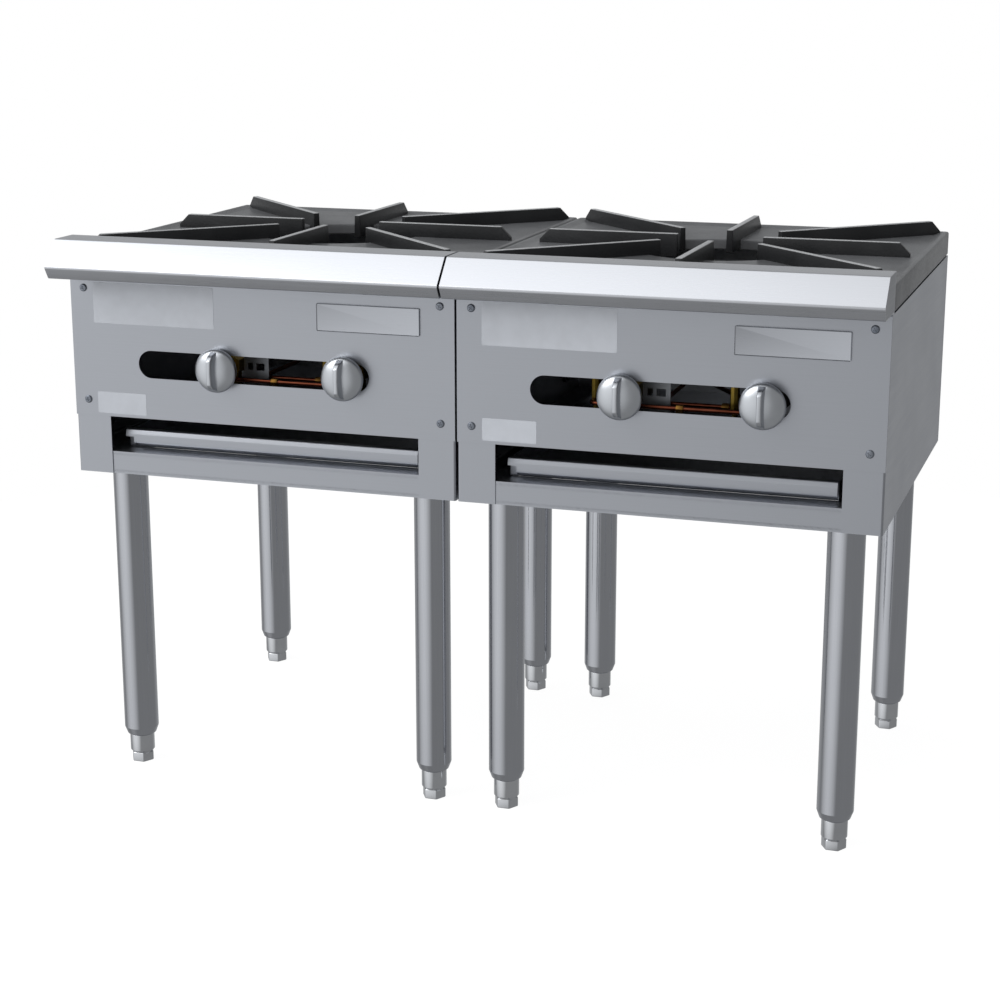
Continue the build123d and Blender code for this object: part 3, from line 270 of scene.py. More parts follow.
def cast_iron(name, dark, light, rough, bright_above=None, specular=0.5):
    """Sand-cast iron: pitted skin with a greyer bloom.

    Given a height, worn bright above it and painted lighter there as a highlight on the top faces; a painted
    sheen lightens the faces that the mesh marks for it."""
    material, tree, surface = shader(name, Specular_IOR_Level=specular)
    place = stretched(tree, (1.0, 1.0, 1.0))
    skin = grain(tree, place, 420.0, 5.0)
    bloom = grain(tree, place, 14.0, 4.0)
    colour = tint(tree, bloom, dark, light)
    if bright_above is not None:
        height = tree.nodes.new("ShaderNodeSeparateXYZ")
        tree.links.new(place, height.inputs["Vector"])
        # above this height are the fin tops: worn bright, and painted lighter there as a highlight on faces
        # that catch the light
        fin_top_share = ramp(tree, height.outputs["Z"], bright_above * MM, (bright_above + 0.7) * MM, 0.0, 1.0)
        worn_and_highlight = math_node(tree, "MULTIPLY", fin_top_share, ramp(tree, skin, 0.3, 0.6, 0.7, 1.0))
        colour = over(tree, colour, worn_and_highlight, WORN_AND_HIGHLIGHT_IRON)
        # painted sheen: the faces marked on the mesh are lightened as if they caught the light
        sheen_faces = tree.nodes.new("ShaderNodeAttribute")
        sheen_faces.attribute_name = "bleached"
        patchy = ramp(tree, bloom, 0.3, 0.7, 0.65, 1.0)
        bleached = math_node(tree, "MULTIPLY", sheen_faces.outputs["Fac"], patchy)
        colour = over(tree, colour, bleached, PAINTED_SHEEN_IRON)
    tree.links.new(colour, surface.inputs["Base Color"])
    tree.links.new(ramp(tree, skin, 0.3, 0.7, *rough), surface.inputs["Roughness"])
    relief(tree, surface, skin, 0.35, 0.0006)
    return material


def plain_metal(name, dark, light, rough, scale=60.0, bump=0.05):
    """Turned or plated metal with a slight stain and a fine unevenness."""
    material, tree, surface = shader(name, Metallic=1.0)
    place = stretched(tree, (1.0, 1.0, 1.0))
    stain = grain(tree, place, scale, 4.0)
    fine = grain(tree, place, 900.0, 3.0)
    tree.links.new(tint(tree, stain, dark, light), surface.inputs["Base Color"])
    tree.links.new(ramp(tree, stain, 0.3, 0.7, *rough), surface.inputs["Roughness"])
    relief(tree, surface, fine, bump, 0.0002)
    return material


def matt_film(name, tone):
    """Printed film without print: smooth, a touch uneven in tone."""
    material, tree, surface = shader(name, Roughness=0.5)
    stain = grain(tree, stretched(tree, (1.0, 1.0, 1.0)), 60.0, 3.0)
    dark = tuple(c * 0.95 for c in tone)
    tree.links.new(tint(tree, stain, dark, tone), surface.inputs["Base Color"])
    relief(tree, surface, stain, 0.03, 0.0003)
    return material


FINISH = {
    "sheet_across": brushed("stainless_across", "x"),
    "sheet_deep": brushed("stainless_deep", "y"),
    "sheet_upright": brushed("stainless_upright", "z"),
    "nose": brushed("stainless_nose", "x", (0.62, 0.63, 0.66), (0.24, 0.34)),
    "leg": brushed("leg_tube", "z", (0.53, 0.54, 0.57), (0.10, 0.17)),
    # the fin tops above FIN_TOP - 0.8 take the worn colour with its painted highlight
    "iron": cast_iron("cast_top_iron", (0.013, 0.0135, 0.0145), (0.022, 0.0225, 0.024), (0.28, 0.40),
                      FIN_TOP - 0.8, 0.3),
    "burner": cast_iron("burner_iron", (0.035, 0.034, 0.034), (0.07, 0.066, 0.062), (0.55, 0.75)),
    "pipe": plain_metal("black_pipe", (0.03, 0.03, 0.032), (0.06, 0.06, 0.062), (0.45, 0.6)),
    "galvanised": plain_metal("galvanised_sheet", (0.24, 0.25, 0.265), (0.34, 0.35, 0.37), (0.38, 0.52),
                              40.0),
    "back_sheet": plain_metal("zinc_coated_back", (0.40, 0.41, 0.43), (0.47, 0.48, 0.50), (0.36, 0.46), 18.0),
    # darker copy of the nose stainless for its end plates: painted shade
    "nose_end": brushed("stainless_nose_end", "y", (0.30, 0.31, 0.33), (0.30, 0.42)),
    "chrome": plain_metal("knob_chrome", (0.60, 0.62, 0.65), (0.66, 0.68, 0.71), (0.28, 0.34), 30.0, 0.02),
    "foot": plain_metal("foot_chrome", (0.64, 0.65, 0.67), (0.70, 0.71, 0.73), (0.06, 0.10), 30.0, 0.02),
    # brass and copper are far darker than bright metal: painted shade of the dim inside of the body
    "brass": plain_metal("brass", (0.28, 0.19, 0.035), (0.40, 0.28, 0.06), (0.28, 0.42)),
    "copper": plain_metal("copper", (0.14, 0.038, 0.02), (0.23, 0.068, 0.038), (0.28, 0.42)),
    # the pilot nuts are brass, made darker still as painted shade of the body's inside
    "bronze": plain_metal("bronze", (0.15, 0.075, 0.015), (0.23, 0.12, 0.03), (0.3, 0.45)),
    "plate": brushed("plate_aluminium", "x", (0.52, 0.535, 0.57), (0.26, 0.36)),
    "film": matt_film("label_film", (0.51, 0.53, 0.57)),
    "white_label": matt_film("white_label", (0.50, 0.52, 0.56)),
    "fastener": plain_metal("fastener_zinc", (0.20, 0.22, 0.26), (0.32, 0.34, 0.38), (0.3, 0.42)),
}

NODE_FINISH = {
    "side_panel_left": "sheet_deep", "side_panel_right": "sheet_deep", "control_panel": "sheet_across",
    "bottom_rail": "sheet_across", "back_panel": "back_sheet", "front_nose": "nose", "top_grate": "iron",
    "outer_burner": "burner", "inner_burner": "burner", "burner_supports": "galvanised",
    "mixer_tubes": "burner", "manifold": "pipe", "manifold_brackets": "galvanised", "outer_stem": "brass",
    "inner_stem": "brass", "outer_knob": "chrome", "inner_knob": "chrome", "base_frame": "galvanised",
    "drip_tray": "sheet_across", "foot_front_left": "foot", "foot_front_right": "foot",
    "foot_rear_left": "foot", "foot_rear_right": "foot",
}
SHARED_FINISH = {
    "legs": "leg", "leg_nuts": "fastener", "tray_runners": "galvanised", "panel_screws": "fastener",
    "gas_valves": "brass", "valve_brackets": "galvanised", "pilot_valves": "brass",
    "pilot_tubes": "copper", "pilot_burners": "burner",
    "air_shutters": "galvanised", "joining_bolts": "fastener", "joining_nuts": "fastener",
    "joining_spacers": "fastener",
}


def finish_nodes():
    """Every carried-over node takes its procedural finish."""
    for name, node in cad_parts.items():
        plain = name.split("_", 1)[1] if name.split("_", 1)[0] in SIDES else name
        chosen = SHARED_FINISH.get(name) or NODE_FINISH[plain]
        for place in node.material_slots:
            place.material = FINISH[chosen]


# ---- drawing helpers: millimetres, in the frame of one range ----

def origin(side):
    """Left end of one range, at the face of its control panel, on the floor."""
    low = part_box(side + "_control_panel")[0]
    return Vector((low.x, low.y, 0.0)) / MM


def eased(points, radius, steps=5, closed=False):
    """Outline with its corners rounded off."""
    path = [Vector(point) for point in points]
    count = len(path)
    result = []
    for index, corner in enumerate(path):
        if not closed and index in (0, count - 1):
            result.append(corner)
            continue
        before = path[index - 1] - corner
        after = path[(index + 1) % count] - corner
        angle = before.angle(after)
        if angle > math.radians(178):
            result.append(corner)
            continue
        reach = min(radius / math.tan(angle / 2), 0.48 * before.length, 0.48 * after.length)
        real = reach * math.tan(angle / 2)
        middle = corner + (before.normalized() + after.normalized()).normalized() * real / math.sin(angle / 2)
        first = (corner + before.normalized() * reach - middle).normalized()
        last = (corner + after.normalized() * reach - middle).normalized()
        result += [middle + first.slerp(last, step / steps) * real for step in range(steps + 1)]
    return result


def lathe(outline, sides=64):
    """Turned shape about z from radius, height pairs; a radius of 0 closes an end."""
    shape = bmesh.new()
    rings = []
    for radius, height in outline:
        if radius < 1e-6:
            rings.append([shape.verts.new((0, 0, height))])
            continue
        rings.append([shape.verts.new((radius * math.cos(math.tau * k / sides),
                                       radius * math.sin(math.tau * k / sides), height))
                      for k in range(sides)])
    for low, high in zip(rings, rings[1:]):
        for k in range(sides):
            after = (k + 1) % sides
            corners = [low[k % len(low)], low[after % len(low)], high[after % len(high)], high[k % len(high)]]
            shape.faces.new([c for n, c in enumerate(corners) if c not in corners[:n]])
    return shape


def prism(outline, low, high):
    """Outline in x, y raised between two heights."""
    shape = bmesh.new()
    floor_ring = [shape.verts.new((x, y, low)) for x, y in outline]
    roof_ring = [shape.verts.new((x, y, high)) for x, y in outline]
    shape.faces.new(floor_ring[::-1])
    shape.faces.new(roof_ring)
    for index in range(len(outline)):
        after = (index + 1) % len(outline)
        shape.faces.new([floor_ring[index], floor_ring[after], roof_ring[after], roof_ring[index]])
    return shape


def fold(points, thickness, radius, span, steps=6):
    """Folded sheet drawn out along x; the points follow its middle in y, z."""
    path = eased(points, radius, steps)
    near, far = [], []
    for index, point in enumerate(path):
        run = path[min(index + 1, len(path) - 1)] - path[max(index - 1, 0)]
        aside = Vector((-run.y, run.x)).normalized() * thickness / 2
        near.append(point + aside)
        far.append(point - aside)
    shape = bmesh.new()
    skins = []
    for x in span:
        skins.append([shape.verts.new((x, *point)) for point in near + far[::-1]])
    left, right = skins
    count = len(left)
    for index in range(count):
        after = (index + 1) % count
        shape.faces.new([left[index], right[index], right[after], left[after]])
    for ring in skins:
        for index in range(len(path) - 1):
            opposite = count - 1 - index
            shape.faces.new([ring[index], ring[index + 1], ring[opposite - 1], ring[opposite]])
    return shape


def merged(*shapes):
    """Several closed shapes in one."""
    whole = bmesh.new()
    for shape in shapes:
        mesh = bpy.data.meshes.new("part")
        shape.to_mesh(mesh)
        shape.free()
        whole.from_mesh(mesh)
        bpy.data.meshes.remove(mesh)
    return whole


def turned_to_front(shape):
    """Turns a shape built upwards so that it faces the front."""
    bmesh.ops.rotate(shape, verts=shape.verts, cent=(0, 0, 0), matrix=Matrix.Rotation(math.pi / 2, 3, "X"))
    return shape


def across(shape):
    """Turns a section drawn in y, z and raised upwards so that it runs along x."""
    turn = Matrix(((0, 0, 1, 0), (1, 0, 0, 0), (0, 1, 0, 0), (0, 0, 0, 1)))
    bmesh.ops.transform(shape, verts=shape.verts, matrix=turn)
    return shape


def turned_back(shape):
    """Turns a shape built upwards so that it points to the rear."""
    bmesh.ops.rotate(shape, verts=shape.verts, cent=(0, 0, 0), matrix=Matrix.Rotation(-math.pi / 2, 3, "X"))
    return shape


def moved(shape, place):
    """Shifts a shape."""
    bmesh.ops.translate(shape, verts=shape.verts, vec=place)
    return shape


def piece(name, shape, finish, shift=(0.0, 0.0, 0.0), sharp=32.0):
    """Object from a shape in millimetres, placed in its mesh, smooth but for its sharp edges."""
    bmesh.ops.translate(shape, verts=shape.verts, vec=shift)
    bmesh.ops.scale(shape, verts=shape.verts, vec=(MM, MM, MM))
    bmesh.ops.recalc_face_normals(shape, faces=shape.faces)
    mesh = bpy.data.meshes.new(name)
    shape.to_mesh(mesh)
    shape.free()
    mesh.shade_smooth()
    mesh.set_sharp_from_angle(angle=math.radians(sharp))
    mesh.materials.append(FINISH[finish])
    made = bpy.data.objects.new(name, mesh)
    bpy.context.scene.collection.objects.link(made)
    return made


def settle(made):
    """Turns a piece's modifiers into plain mesh."""
    graph = bpy.context.evaluated_depsgraph_get()
    mesh = bpy.data.meshes.new_from_object(made.evaluated_get(graph), depsgraph=graph)
    mesh.name = made.name
    made.modifiers.clear()
    made.data = mesh
    return made


def soften(made, width, segments=3, angle=30.0):
    """Rounds the edges of a piece, width in millimetres."""
    bevel = made.modifiers.new("edges", "BEVEL")
    bevel.width = width * MM
    bevel.segments = segments
    bevel.limit_method = "ANGLE"
    bevel.angle_limit = math.radians(angle)
    bevel.harden_normals = False
    settle(made)
    made.data.shade_smooth()
    made.data.set_sharp_from_angle(angle=math.radians(38))
    return made


def combine(made, tool, operation):
    """Joins a tool shape to a piece, or cuts it out of it."""
    cut = made.modifiers.new("combine", "BOOLEAN")
    cut.operation = operation
    cut.solver = "EXACT"
    cut.object = tool
    settle(made)
    bpy.data.objects.remove(tool)
    made.data.shade_smooth()
    made.data.set_sharp_from_angle(angle=math.radians(32))
    return made


def mounted(made, body, slot, *nodes):
    """A piece rides on its body and stands for its nodes; the slot is not used."""
    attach(made, body)
    if nodes:
        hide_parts(*nodes)
    return made


# ---- node trees for what repeats or follows a line ----

def new_tree(name, sockets):
    """Empty geometry tree with a geometry in and out and named inputs."""
    tree = bpy.data.node_groups.new(name, "GeometryNodeTree")
    tree.interface.new_socket("Geometry", in_out="INPUT", socket_type="NodeSocketGeometry")
    for label, kind in sockets:
        tree.interface.new_socket(label, in_out="INPUT", socket_type=kind)
    tree.interface.new_socket("Geometry", in_out="OUTPUT", socket_type="NodeSocketGeometry")
    return tree, tree.nodes.new("NodeGroupInput"), tree.nodes.new("NodeGroupOutput")


def close_tree(tree, source, inside, outside):
    """Ends a tree in Realize Instances and Set Material."""
    real = tree.nodes.new("GeometryNodeRealizeInstances")
    paint = tree.nodes.new("GeometryNodeSetMaterial")
    tree.links.new(source, real.inputs["Geometry"])
    tree.links.new(real.outputs["Geometry"], paint.inputs["Geometry"])
    tree.links.new(inside.outputs["Material"], paint.inputs["Material"])
    tree.links.new(paint.outputs["Geometry"], outside.inputs["Geometry"])
    return tree


def repeat_tree():
    """One piece on every point, each turned a little differently about its own axis."""
    tree, inside, outside = new_tree("repeat_on_places", (
        ("Piece", "NodeSocketObject"), ("Most Spin", "NodeSocketFloat"), ("Seed", "NodeSocketInt"),
        ("Material", "NodeSocketMaterial")))
    info = tree.nodes.new("GeometryNodeObjectInfo")
    tree.links.new(inside.outputs["Piece"], info.inputs["Object"])
    chance = tree.nodes.new("FunctionNodeRandomValue")
    chance.data_type = "FLOAT"
    tree.links.new(inside.outputs["Most Spin"], chance.inputs[3])
    tree.links.new(inside.outputs["Seed"], chance.inputs["Seed"])
    spin = tree.nodes.new("ShaderNodeCombineXYZ")
    tree.links.new(chance.outputs[1], spin.inputs["Y"])
    place = tree.nodes.new("GeometryNodeInstanceOnPoints")
    tree.links.new(inside.outputs["Geometry"], place.inputs["Points"])
    tree.links.new(info.outputs["Geometry"], place.inputs["Instance"])
    tree.links.new(spin.outputs["Vector"], place.inputs["Rotation"])
    return close_tree(tree, place.outputs["Instances"], inside, outside)


def tube_tree():
    """Round tube along a line of straight runs, with a bend at every corner."""
    tree, inside, outside = new_tree("bent_tube", (
        ("Bend Radius", "NodeSocketFloat"), ("Tube Radius", "NodeSocketFloat"), ("Sides", "NodeSocketInt"),
        ("Material", "NodeSocketMaterial")))
    line = tree.nodes.new("GeometryNodeMeshToCurve")
    tree.links.new(inside.outputs["Geometry"], line.inputs["Mesh"])
    bend = tree.nodes.new("GeometryNodeFilletCurve")
    bend.mode = "POLY"
    bend.inputs["Count"].default_value = 8
    bend.inputs["Limit Radius"].default_value = True
    tree.links.new(line.outputs["Curve"], bend.inputs["Curve"])
    tree.links.new(inside.outputs["Bend Radius"], bend.inputs["Radius"])
    ring = tree.nodes.new("GeometryNodeCurvePrimitiveCircle")
    tree.links.new(inside.outputs["Sides"], ring.inputs["Resolution"])
    tree.links.new(inside.outputs["Tube Radius"], ring.inputs["Radius"])
    wall = tree.nodes.new("GeometryNodeCurveToMesh")
    wall.inputs["Fill Caps"].default_value = True
    tree.links.new(bend.outputs["Curve"], wall.inputs["Curve"])
    tree.links.new(ring.outputs["Curve"], wall.inputs["Profile Curve"])
    return close_tree(tree, wall.outputs["Mesh"], inside, outside)


def fin_tree():
    """Two kinds of fin set by turns round a centre, joined to the plate that comes in."""
    tree, inside, outside = new_tree("fins_round_opening", (
        ("Straight Fin", "NodeSocketObject"), ("Corner Fin", "NodeSocketObject"), ("Pairs", "NodeSocketInt"),
        ("Centre", "NodeSocketVector"), ("Material", "NodeSocketMaterial")))
    join = tree.nodes.new("GeometryNodeJoinGeometry")
    tree.links.new(inside.outputs["Geometry"], join.inputs["Geometry"])
    step = math_node(tree, "DIVIDE", math.tau, inside.outputs["Pairs"])
    for label, start in (("Straight Fin", 0.0), ("Corner Fin", 0.5)):
        info = tree.nodes.new("GeometryNodeObjectInfo")
        tree.links.new(inside.outputs[label], info.inputs["Object"])
        points = tree.nodes.new("GeometryNodePoints")
        tree.links.new(inside.outputs["Pairs"], points.inputs["Count"])
        tree.links.new(inside.outputs["Centre"], points.inputs["Position"])
        index = tree.nodes.new("GeometryNodeInputIndex").outputs[0]
        turn = math_node(tree, "MULTIPLY", math_node(tree, "ADD", index, start), step)
        spin = tree.nodes.new("ShaderNodeCombineXYZ")
        tree.links.new(turn, spin.inputs["Z"])
        place = tree.nodes.new("GeometryNodeInstanceOnPoints")
        tree.links.new(points.outputs[0], place.inputs["Points"])
        tree.links.new(info.outputs["Geometry"], place.inputs["Instance"])
        tree.links.new(spin.outputs["Vector"], place.inputs["Rotation"])
        tree.links.new(place.outputs["Instances"], join.inputs["Geometry"])
    return close_tree(tree, join.outputs["Geometry"], inside, outside)


def grow(made, tree, **values):
    """Runs a node tree on a piece with its named inputs and keeps the result as plain mesh."""
    modifier = made.modifiers.new(tree.name, "NODES")
    modifier.node_group = tree
    for socket in tree.interface.items_tree:
        label = socket.name.lower().replace(" ", "_")
        if socket.in_out == "INPUT" and label in values:
            modifier[socket.identifier] = values[label]
    return settle(made)


def dots(name, places):
    """Loose points to set pieces on, or the corners of a line when joined."""
    mesh = bpy.data.meshes.new(name)
    mesh.from_pydata([tuple(Vector(p) * MM) for p in places], [], [])
    made = bpy.data.objects.new(name, mesh)
    bpy.context.scene.collection.objects.link(made)
    return made


def route(name, points):
    """Line of straight runs for a tube."""
    made = dots(name, points)
    corners = [tuple(v.co) for v in made.data.vertices]
    made.data.clear_geometry()
    made.data.from_pydata(corners, [(k, k + 1) for k in range(len(corners) - 1)], [])
    return made


def repeated(name, template, places, finish, spin=0.0, seed=1):
    """The template set on every place, as one piece."""
    made = grow(dots(name, places), REPEAT, piece=template, most_spin=spin, seed=seed,
                material=FINISH[finish])
    bpy.data.objects.remove(template)
    return made


def tube(name, points, radius, bend, finish, sides=24):
    """Round tube along the points, bent at its corners, sizes in millimetres."""
    made = grow(route(name, points), TUBE, bend_radius=bend * MM, tube_radius=radius * MM, sides=sides,
                material=FINISH[finish])
    made.data.shade_smooth()
    made.data.set_sharp_from_angle(angle=math.radians(50))
    return made


# ---- knobs ----

def knob(side, which):
    """Chrome knob: full dome with a grip ridge across it, rounded where the fingers hold it."""
    low, high = (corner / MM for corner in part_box(f"{side}_{which}_knob"))
    centre = ((low.x + high.x) / 2, high.y, (low.z + high.z) / 2)
    radius = (high.x - low.x) / 2
    rim, crown = 7.5, 10.0
    dome = [(radius * math.cos(math.radians(a)), rim + crown * math.sin(math.radians(a)))
            for a in range(0, 90, 5)]
    outline = [(0, 0), *eased([(20.5, 0), (22.2, 0), (radius - 0.1, 6.6), (radius, rim)], 0.7), *dome[1:],
               (0, rim + crown)]
    name = f"{side}_{which}_knob_chrome"
    body = piece(name, turned_to_front(lathe(outline, 96)), "chrome", centre)
    side_view = [(-21.6, 5), (-21.6, 12.2), (-18.4, 21.5), (-13.5, 26.2), (0, 27), (13.5, 26.2), (18.4, 21.5),
                 (21.6, 12.2), (21.6, 5)]
    ridge = bmesh.new()
    rings = []
    for hand in (-1, 1):
        rings.append([ridge.verts.new((hand * (4.6 - 2.0 * max(0.0, h - 8) / 19), v, h))
                      for v, h in side_view])
    count = len(side_view)
    ridge.faces.new(rings[0])
    ridge.faces.new(rings[1][::-1])
    for index in range(count):
        after = (index + 1) % count
        ridge.faces.new([rings[0][index], rings[1][index], rings[1][after], rings[0][after]])
    grip = piece(name + "_ridge", turned_to_front(ridge), "chrome", centre)
    soften(grip, 1.3, 4, 25)
    combine(body, grip, "UNION")
    return mounted(body, f"{side}_{which}_control", "knob_chrome", f"{side}_{which}_knob")


# ---- legs and feet ----

def leg_places():
    """Centre of every leg, on the floor."""
    places = []
    for side in SIDES:
        for corner in CORNERS:
            low, high = (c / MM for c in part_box(f"{side}_foot_{corner}"))
            places.append(((low.x + high.x) / 2, (low.y + high.y) / 2, 0.0))
    return places


def legs():
    """Polished leg tubes with a tapered collar, closed on top round a stud."""
    outer = eased([(6.3, 35.0), (16.9, 35.0), (17.3, 36.2), (20.0, 43.5), (20.0, 362.3), (5.0, 362.3),
                   (5.0, 373.0)], 1.2, 4)
    shape = lathe([(0, 62), (6.3, 62), *outer, (0, 373.0)], 72)
    template = piece("leg", shape, "leg")
    made = repeated("leg_tubes", template, leg_places(), "leg")
    return mounted(made, "battery", "leg_steel", "legs")


def foot(side, corner):
    """Levelling foot: chamfered hexagon below a bright barrel, with its shank."""
    low, high = (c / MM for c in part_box(f"{side}_foot_{corner}"))
    centre = ((low.x + high.x) / 2, (low.y + high.y) / 2, 0.0)
    flats = 24.0
    hexagon = circle(flats / 2 / math.cos(math.pi / 6), sides=6)
    key = piece("key", prism(hexagon, 0.0, 11.2), "foot", centre)
    soften(key, 1.1, 3, 40)
    barrel = lathe([(0, 11.0), *eased([(12.2, 11.0), (12.6, 12.6), (14.3, 13.6), (14.3, 33.4), (13.0, 34.7),
                                       (6.0, 34.7), (6.0, 112.0)], 0.8, 3), (0, 112.0)], 64)
    made = piece(f"{side}_foot_{corner}_chrome", barrel, "foot", centre)
    combine(made, key, "UNION")
    return mounted(made, f"{side}_foot_{corner}", "foot_chrome", f"{side}_foot_{corner}")


# ---- screws ----

def cross_screw(name):
    """Pan head with a cross recess, facing the front, its seat at y = 0."""
    pan = eased([(4.4, 0.0), (4.4, -0.7), (3.4, -1.7), (0.01, -1.95)], 0.5, 3)
    head = lathe([(0, 6.5), (2.3, 6.5), (2.3, 0.0), *pan, (0, -1.95)], 40)
    screw = piece(name, turned_back(head), "fastener")
    arm, half = 2.3, 0.45
    cross = [(half, half), (half, arm), (-half, arm), (-half, half), (-arm, half), (-arm, -half),
             (-half, -half), (-half, -arm), (half, -arm), (half, -half), (arm, -half), (arm, half)]
    recess = piece("recess", turned_to_front(prism(cross, 0.9, 2.6)), "fastener")
    return combine(screw, recess, "DIFFERENCE")


def screws():
    """Four screws in every control panel and four in every back panel."""
    front, back = [], []
    for side in SIDES:
        start = origin(side)
        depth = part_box(side + "_back_panel")[1].y / MM - start.y
        for x in (16.3, RANGE_WIDTH - 16.3):
            front += [start + Vector((x, 0, z)) for z in (447.3, 574.5)]
        for x in (10.0, RANGE_WIDTH - 10.0):
            back += [start + Vector((x, depth, z)) for z in (385.0, 565.0)]
    made = repeated("front_panel_screws", cross_screw("front_screw"), front, "fastener", math.tau, 7)
    mounted(made, "battery", "fastener", "panel_screws")
    turned = cross_screw("back_screw")
    turned.data.transform(Matrix.Rotation(math.pi, 4, "Z"))
    made = repeated("back_panel_screws", turned, back, "fastener", math.tau, 11)
    mounted(made, "battery", "fastener", "panel_screws")


# ---- nose ----

def nose(side):
    """Folded landing ledge with rounded edges, its ends closed by welded plates."""
    width = (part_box(side + "_front_nose")[1].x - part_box(side + "_front_nose")[0].x) / MM
    half, bottom, back = NOSE_SHEET / 2, 590.2, 13.0
    points = [(-5.0, bottom + half), (back - half, bottom + half), (back - half, NOSE_TOP - half),
              (-28.7, NOSE_TOP - half), (-54.0, 603.7), (-46.4, bottom + half), (-29.0, bottom + half)]
    ledge = fold(points, NOSE_SHEET, 2.6, (0.0, width), 8)
    made = piece(side + "_nose_ledge", ledge, "nose", origin(side), 40)
    outline = eased([(12.0, 591.0), (12.0, 631.2), (-28.4, 631.2), (-53.4, 603.6), (-46.2, 591.0)],
                    2.8, 8, True)
    caps = merged(*(across(prism([tuple(corner) for corner in outline], start, start + NOSE_SHEET))
                    for start in (-0.05, width - 1.45)))
    # the end plates take the darker stainless copy, a painted shade
    ends = piece(side + "_nose_ends", caps, "nose_end", origin(side), 40)
    mounted(ends, "battery", "stainless")
    return mounted(made, "battery", "stainless", side + "_front_nose")


# ---- bottom rail and drip tray ----

def bottom_rail(side):
    """Folded rail under the tray opening, notched round the side channels, with a tab towards each runner."""
    low, high = (c / MM - origin(side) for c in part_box(side + "_bottom_rail"))
    half = SHEET / 2
    face, back = low.y + half, high.y
    channel = 29.5
    web = fold([(face, high.z), (face, low.z)], SHEET, 0.5, (low.x, high.x))
    inner = (channel, low.x + high.x - channel)
    shelf = fold([(face, high.z - 4), (face, high.z - half), (back, high.z - half)], SHEET, 1.0, inner, 5)
    foot = fold([(face, low.z + 4), (face, low.z + half), (low.y + 14.0, low.z + half)], SHEET, 1.0,
                (low.x, high.x), 5)
    tab, runner_front = 22.0, 60.0
    tabs = [fold([(back - 1, high.z - half), (runner_front, high.z - half)], SHEET, 1.0, span)
            for span in ((inner[0], inner[0] + tab), (inner[1] - tab, inner[1]))]
    made = piece(side + "_tray_rail", merged(web, shelf, foot, *tabs), "sheet_across", origin(side))
    return mounted(made, "battery", "stainless", side + "_bottom_rail")


def drip_tray(side):
    """Folded pan whose front wall rolls over into a pull lip, notched below at its left end."""
    low, high = (c / MM - origin(side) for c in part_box(side + "_drip_tray"))
    half = SHEET / 2
    base, rear, wall = low.z + half, high.y - half, 30.8
    rim = high.z - half
    notch, notch_top, lip_back = 10.0, rim - 9.0, 28.0
    roll = [(wall, rim - 6), (wall - 2.6, rim - 1.6), (wall - 5.5, rim), (wall - 8.6, rim - 1.6),
            (low.y + half, rim - 6.5), (low.y + half, notch_top), (low.y + half, notch_top - 0.3),
            (low.y + half, base + 6.5), (low.y + 4.4, base + 3.0)]
    pan = fold([(rear, rim), (rear, base), (wall, base), *roll], SHEET, 2.2, (low.x, high.x), 5)
    for corner in pan.verts:
        if corner.co.y < lip_back and corner.co.z < notch_top - 0.1 and corner.co.x < low.x + 1:
            corner.co.x += notch
    wall_outline = [(wall, base), (rear, base), (rear, rim - 1), (wall, rim - 2.6)]
    walls = [across(prism(wall_outline, start, start + SHEET)) for start in (low.x, high.x - SHEET)]
    made = piece(side + "_drip_pan", merged(pan, *walls), "sheet_across", origin(side))
    return mounted(made, side + "_tray", "tray_steel", side + "_drip_tray")


# ---- cast top ----

def ring_of(outline, height, shape):
    """The outline's corners as points of a shape, at one height."""
    return [shape.verts.new((x, y, height)) for x, y in outline]


def bridge(shape, low, high):
    """Wall between two rings with as many points each."""
    for index in range(len(low)):
        after = (index + 1) % len(low)
        shape.faces.new([low[index], low[after], high[after], high[index]])


def rectangle(inset, width, front, back, corner):
    """Rounded rectangle of the casting, set in from its edge."""
    points = [(inset, front + inset), (width - inset, front + inset), (width - inset, back - inset),
              (inset, back - inset)]
    return [(p.x, p.y) for p in eased(points, corner, 4, True)]


def circle(radius, centre=(0.0, 0.0), sides=96):
    """Points round a circle, or the corners of a hexagon and the like."""
    return [(centre[0] + radius * math.cos(math.tau * k / sides),
             centre[1] + radius * math.sin(math.tau * k / sides)) for k in range(sides)]


def between(shape, outer, inner):
    """Fills the flat area between a rectangle and a circle."""
    edges = []
    for ring in (outer, inner):
        for index in range(len(ring)):
            edges.append(shape.edges.get((ring[index], ring[(index + 1) % len(ring)])))
    bmesh.ops.triangle_fill(shape, use_beauty=True, edges=edges)


def cast_plate(width, centre):
    """Dished plate on a skirt, with a round opening and its collar."""
    front, back = 14.0, BODY_DEPTH
    shape = bmesh.new()
    levels = [(0.0, 591.4, 3.0), (0.0, 615.0, 3.0), (0.35, 616.3, 3.0), (1.2, 617.2, 2.5),
              (2.4, CASTING_TOP, 2.0), (5.4, CASTING_TOP, 2.0), (6.6, 617.0, 2.0), (13.0, 614.8, 2.0),
              (14.6, 614.5, 2.0)]
    rings = [ring_of(rectangle(inset, width, front, back, corner), height, shape)
             for inset, height, corner in levels]
    for low, high in zip(rings, rings[1:]):
        bridge(shape, low, high)
    lip = [(94.6, 614.5), (93.0, 614.1), (92.2, 613.2), (OPENING_RADIUS, 612.0), (OPENING_RADIUS, 603.6),
           (92.9, 602.5), (100.0, 602.5), (101.0, 603.5), (101.0, 606.5)]
    circles = [ring_of(circle(radius, centre), height, shape) for radius, height in lip]
    for low, high in zip(circles, circles[1:]):
        bridge(shape, low, high)
    inside = [ring_of(rectangle(inset, width, front, back, corner), height, shape)
              for inset, height, corner in ((8.0, 606.5, 2.0), (8.0, 591.4, 2.0))]
    bridge(shape, *inside)
    bridge(shape, inside[1], rings[0])
    between(shape, rings[-1], circles[0])
    between(shape, inside[0], circles[-1])
    return shape


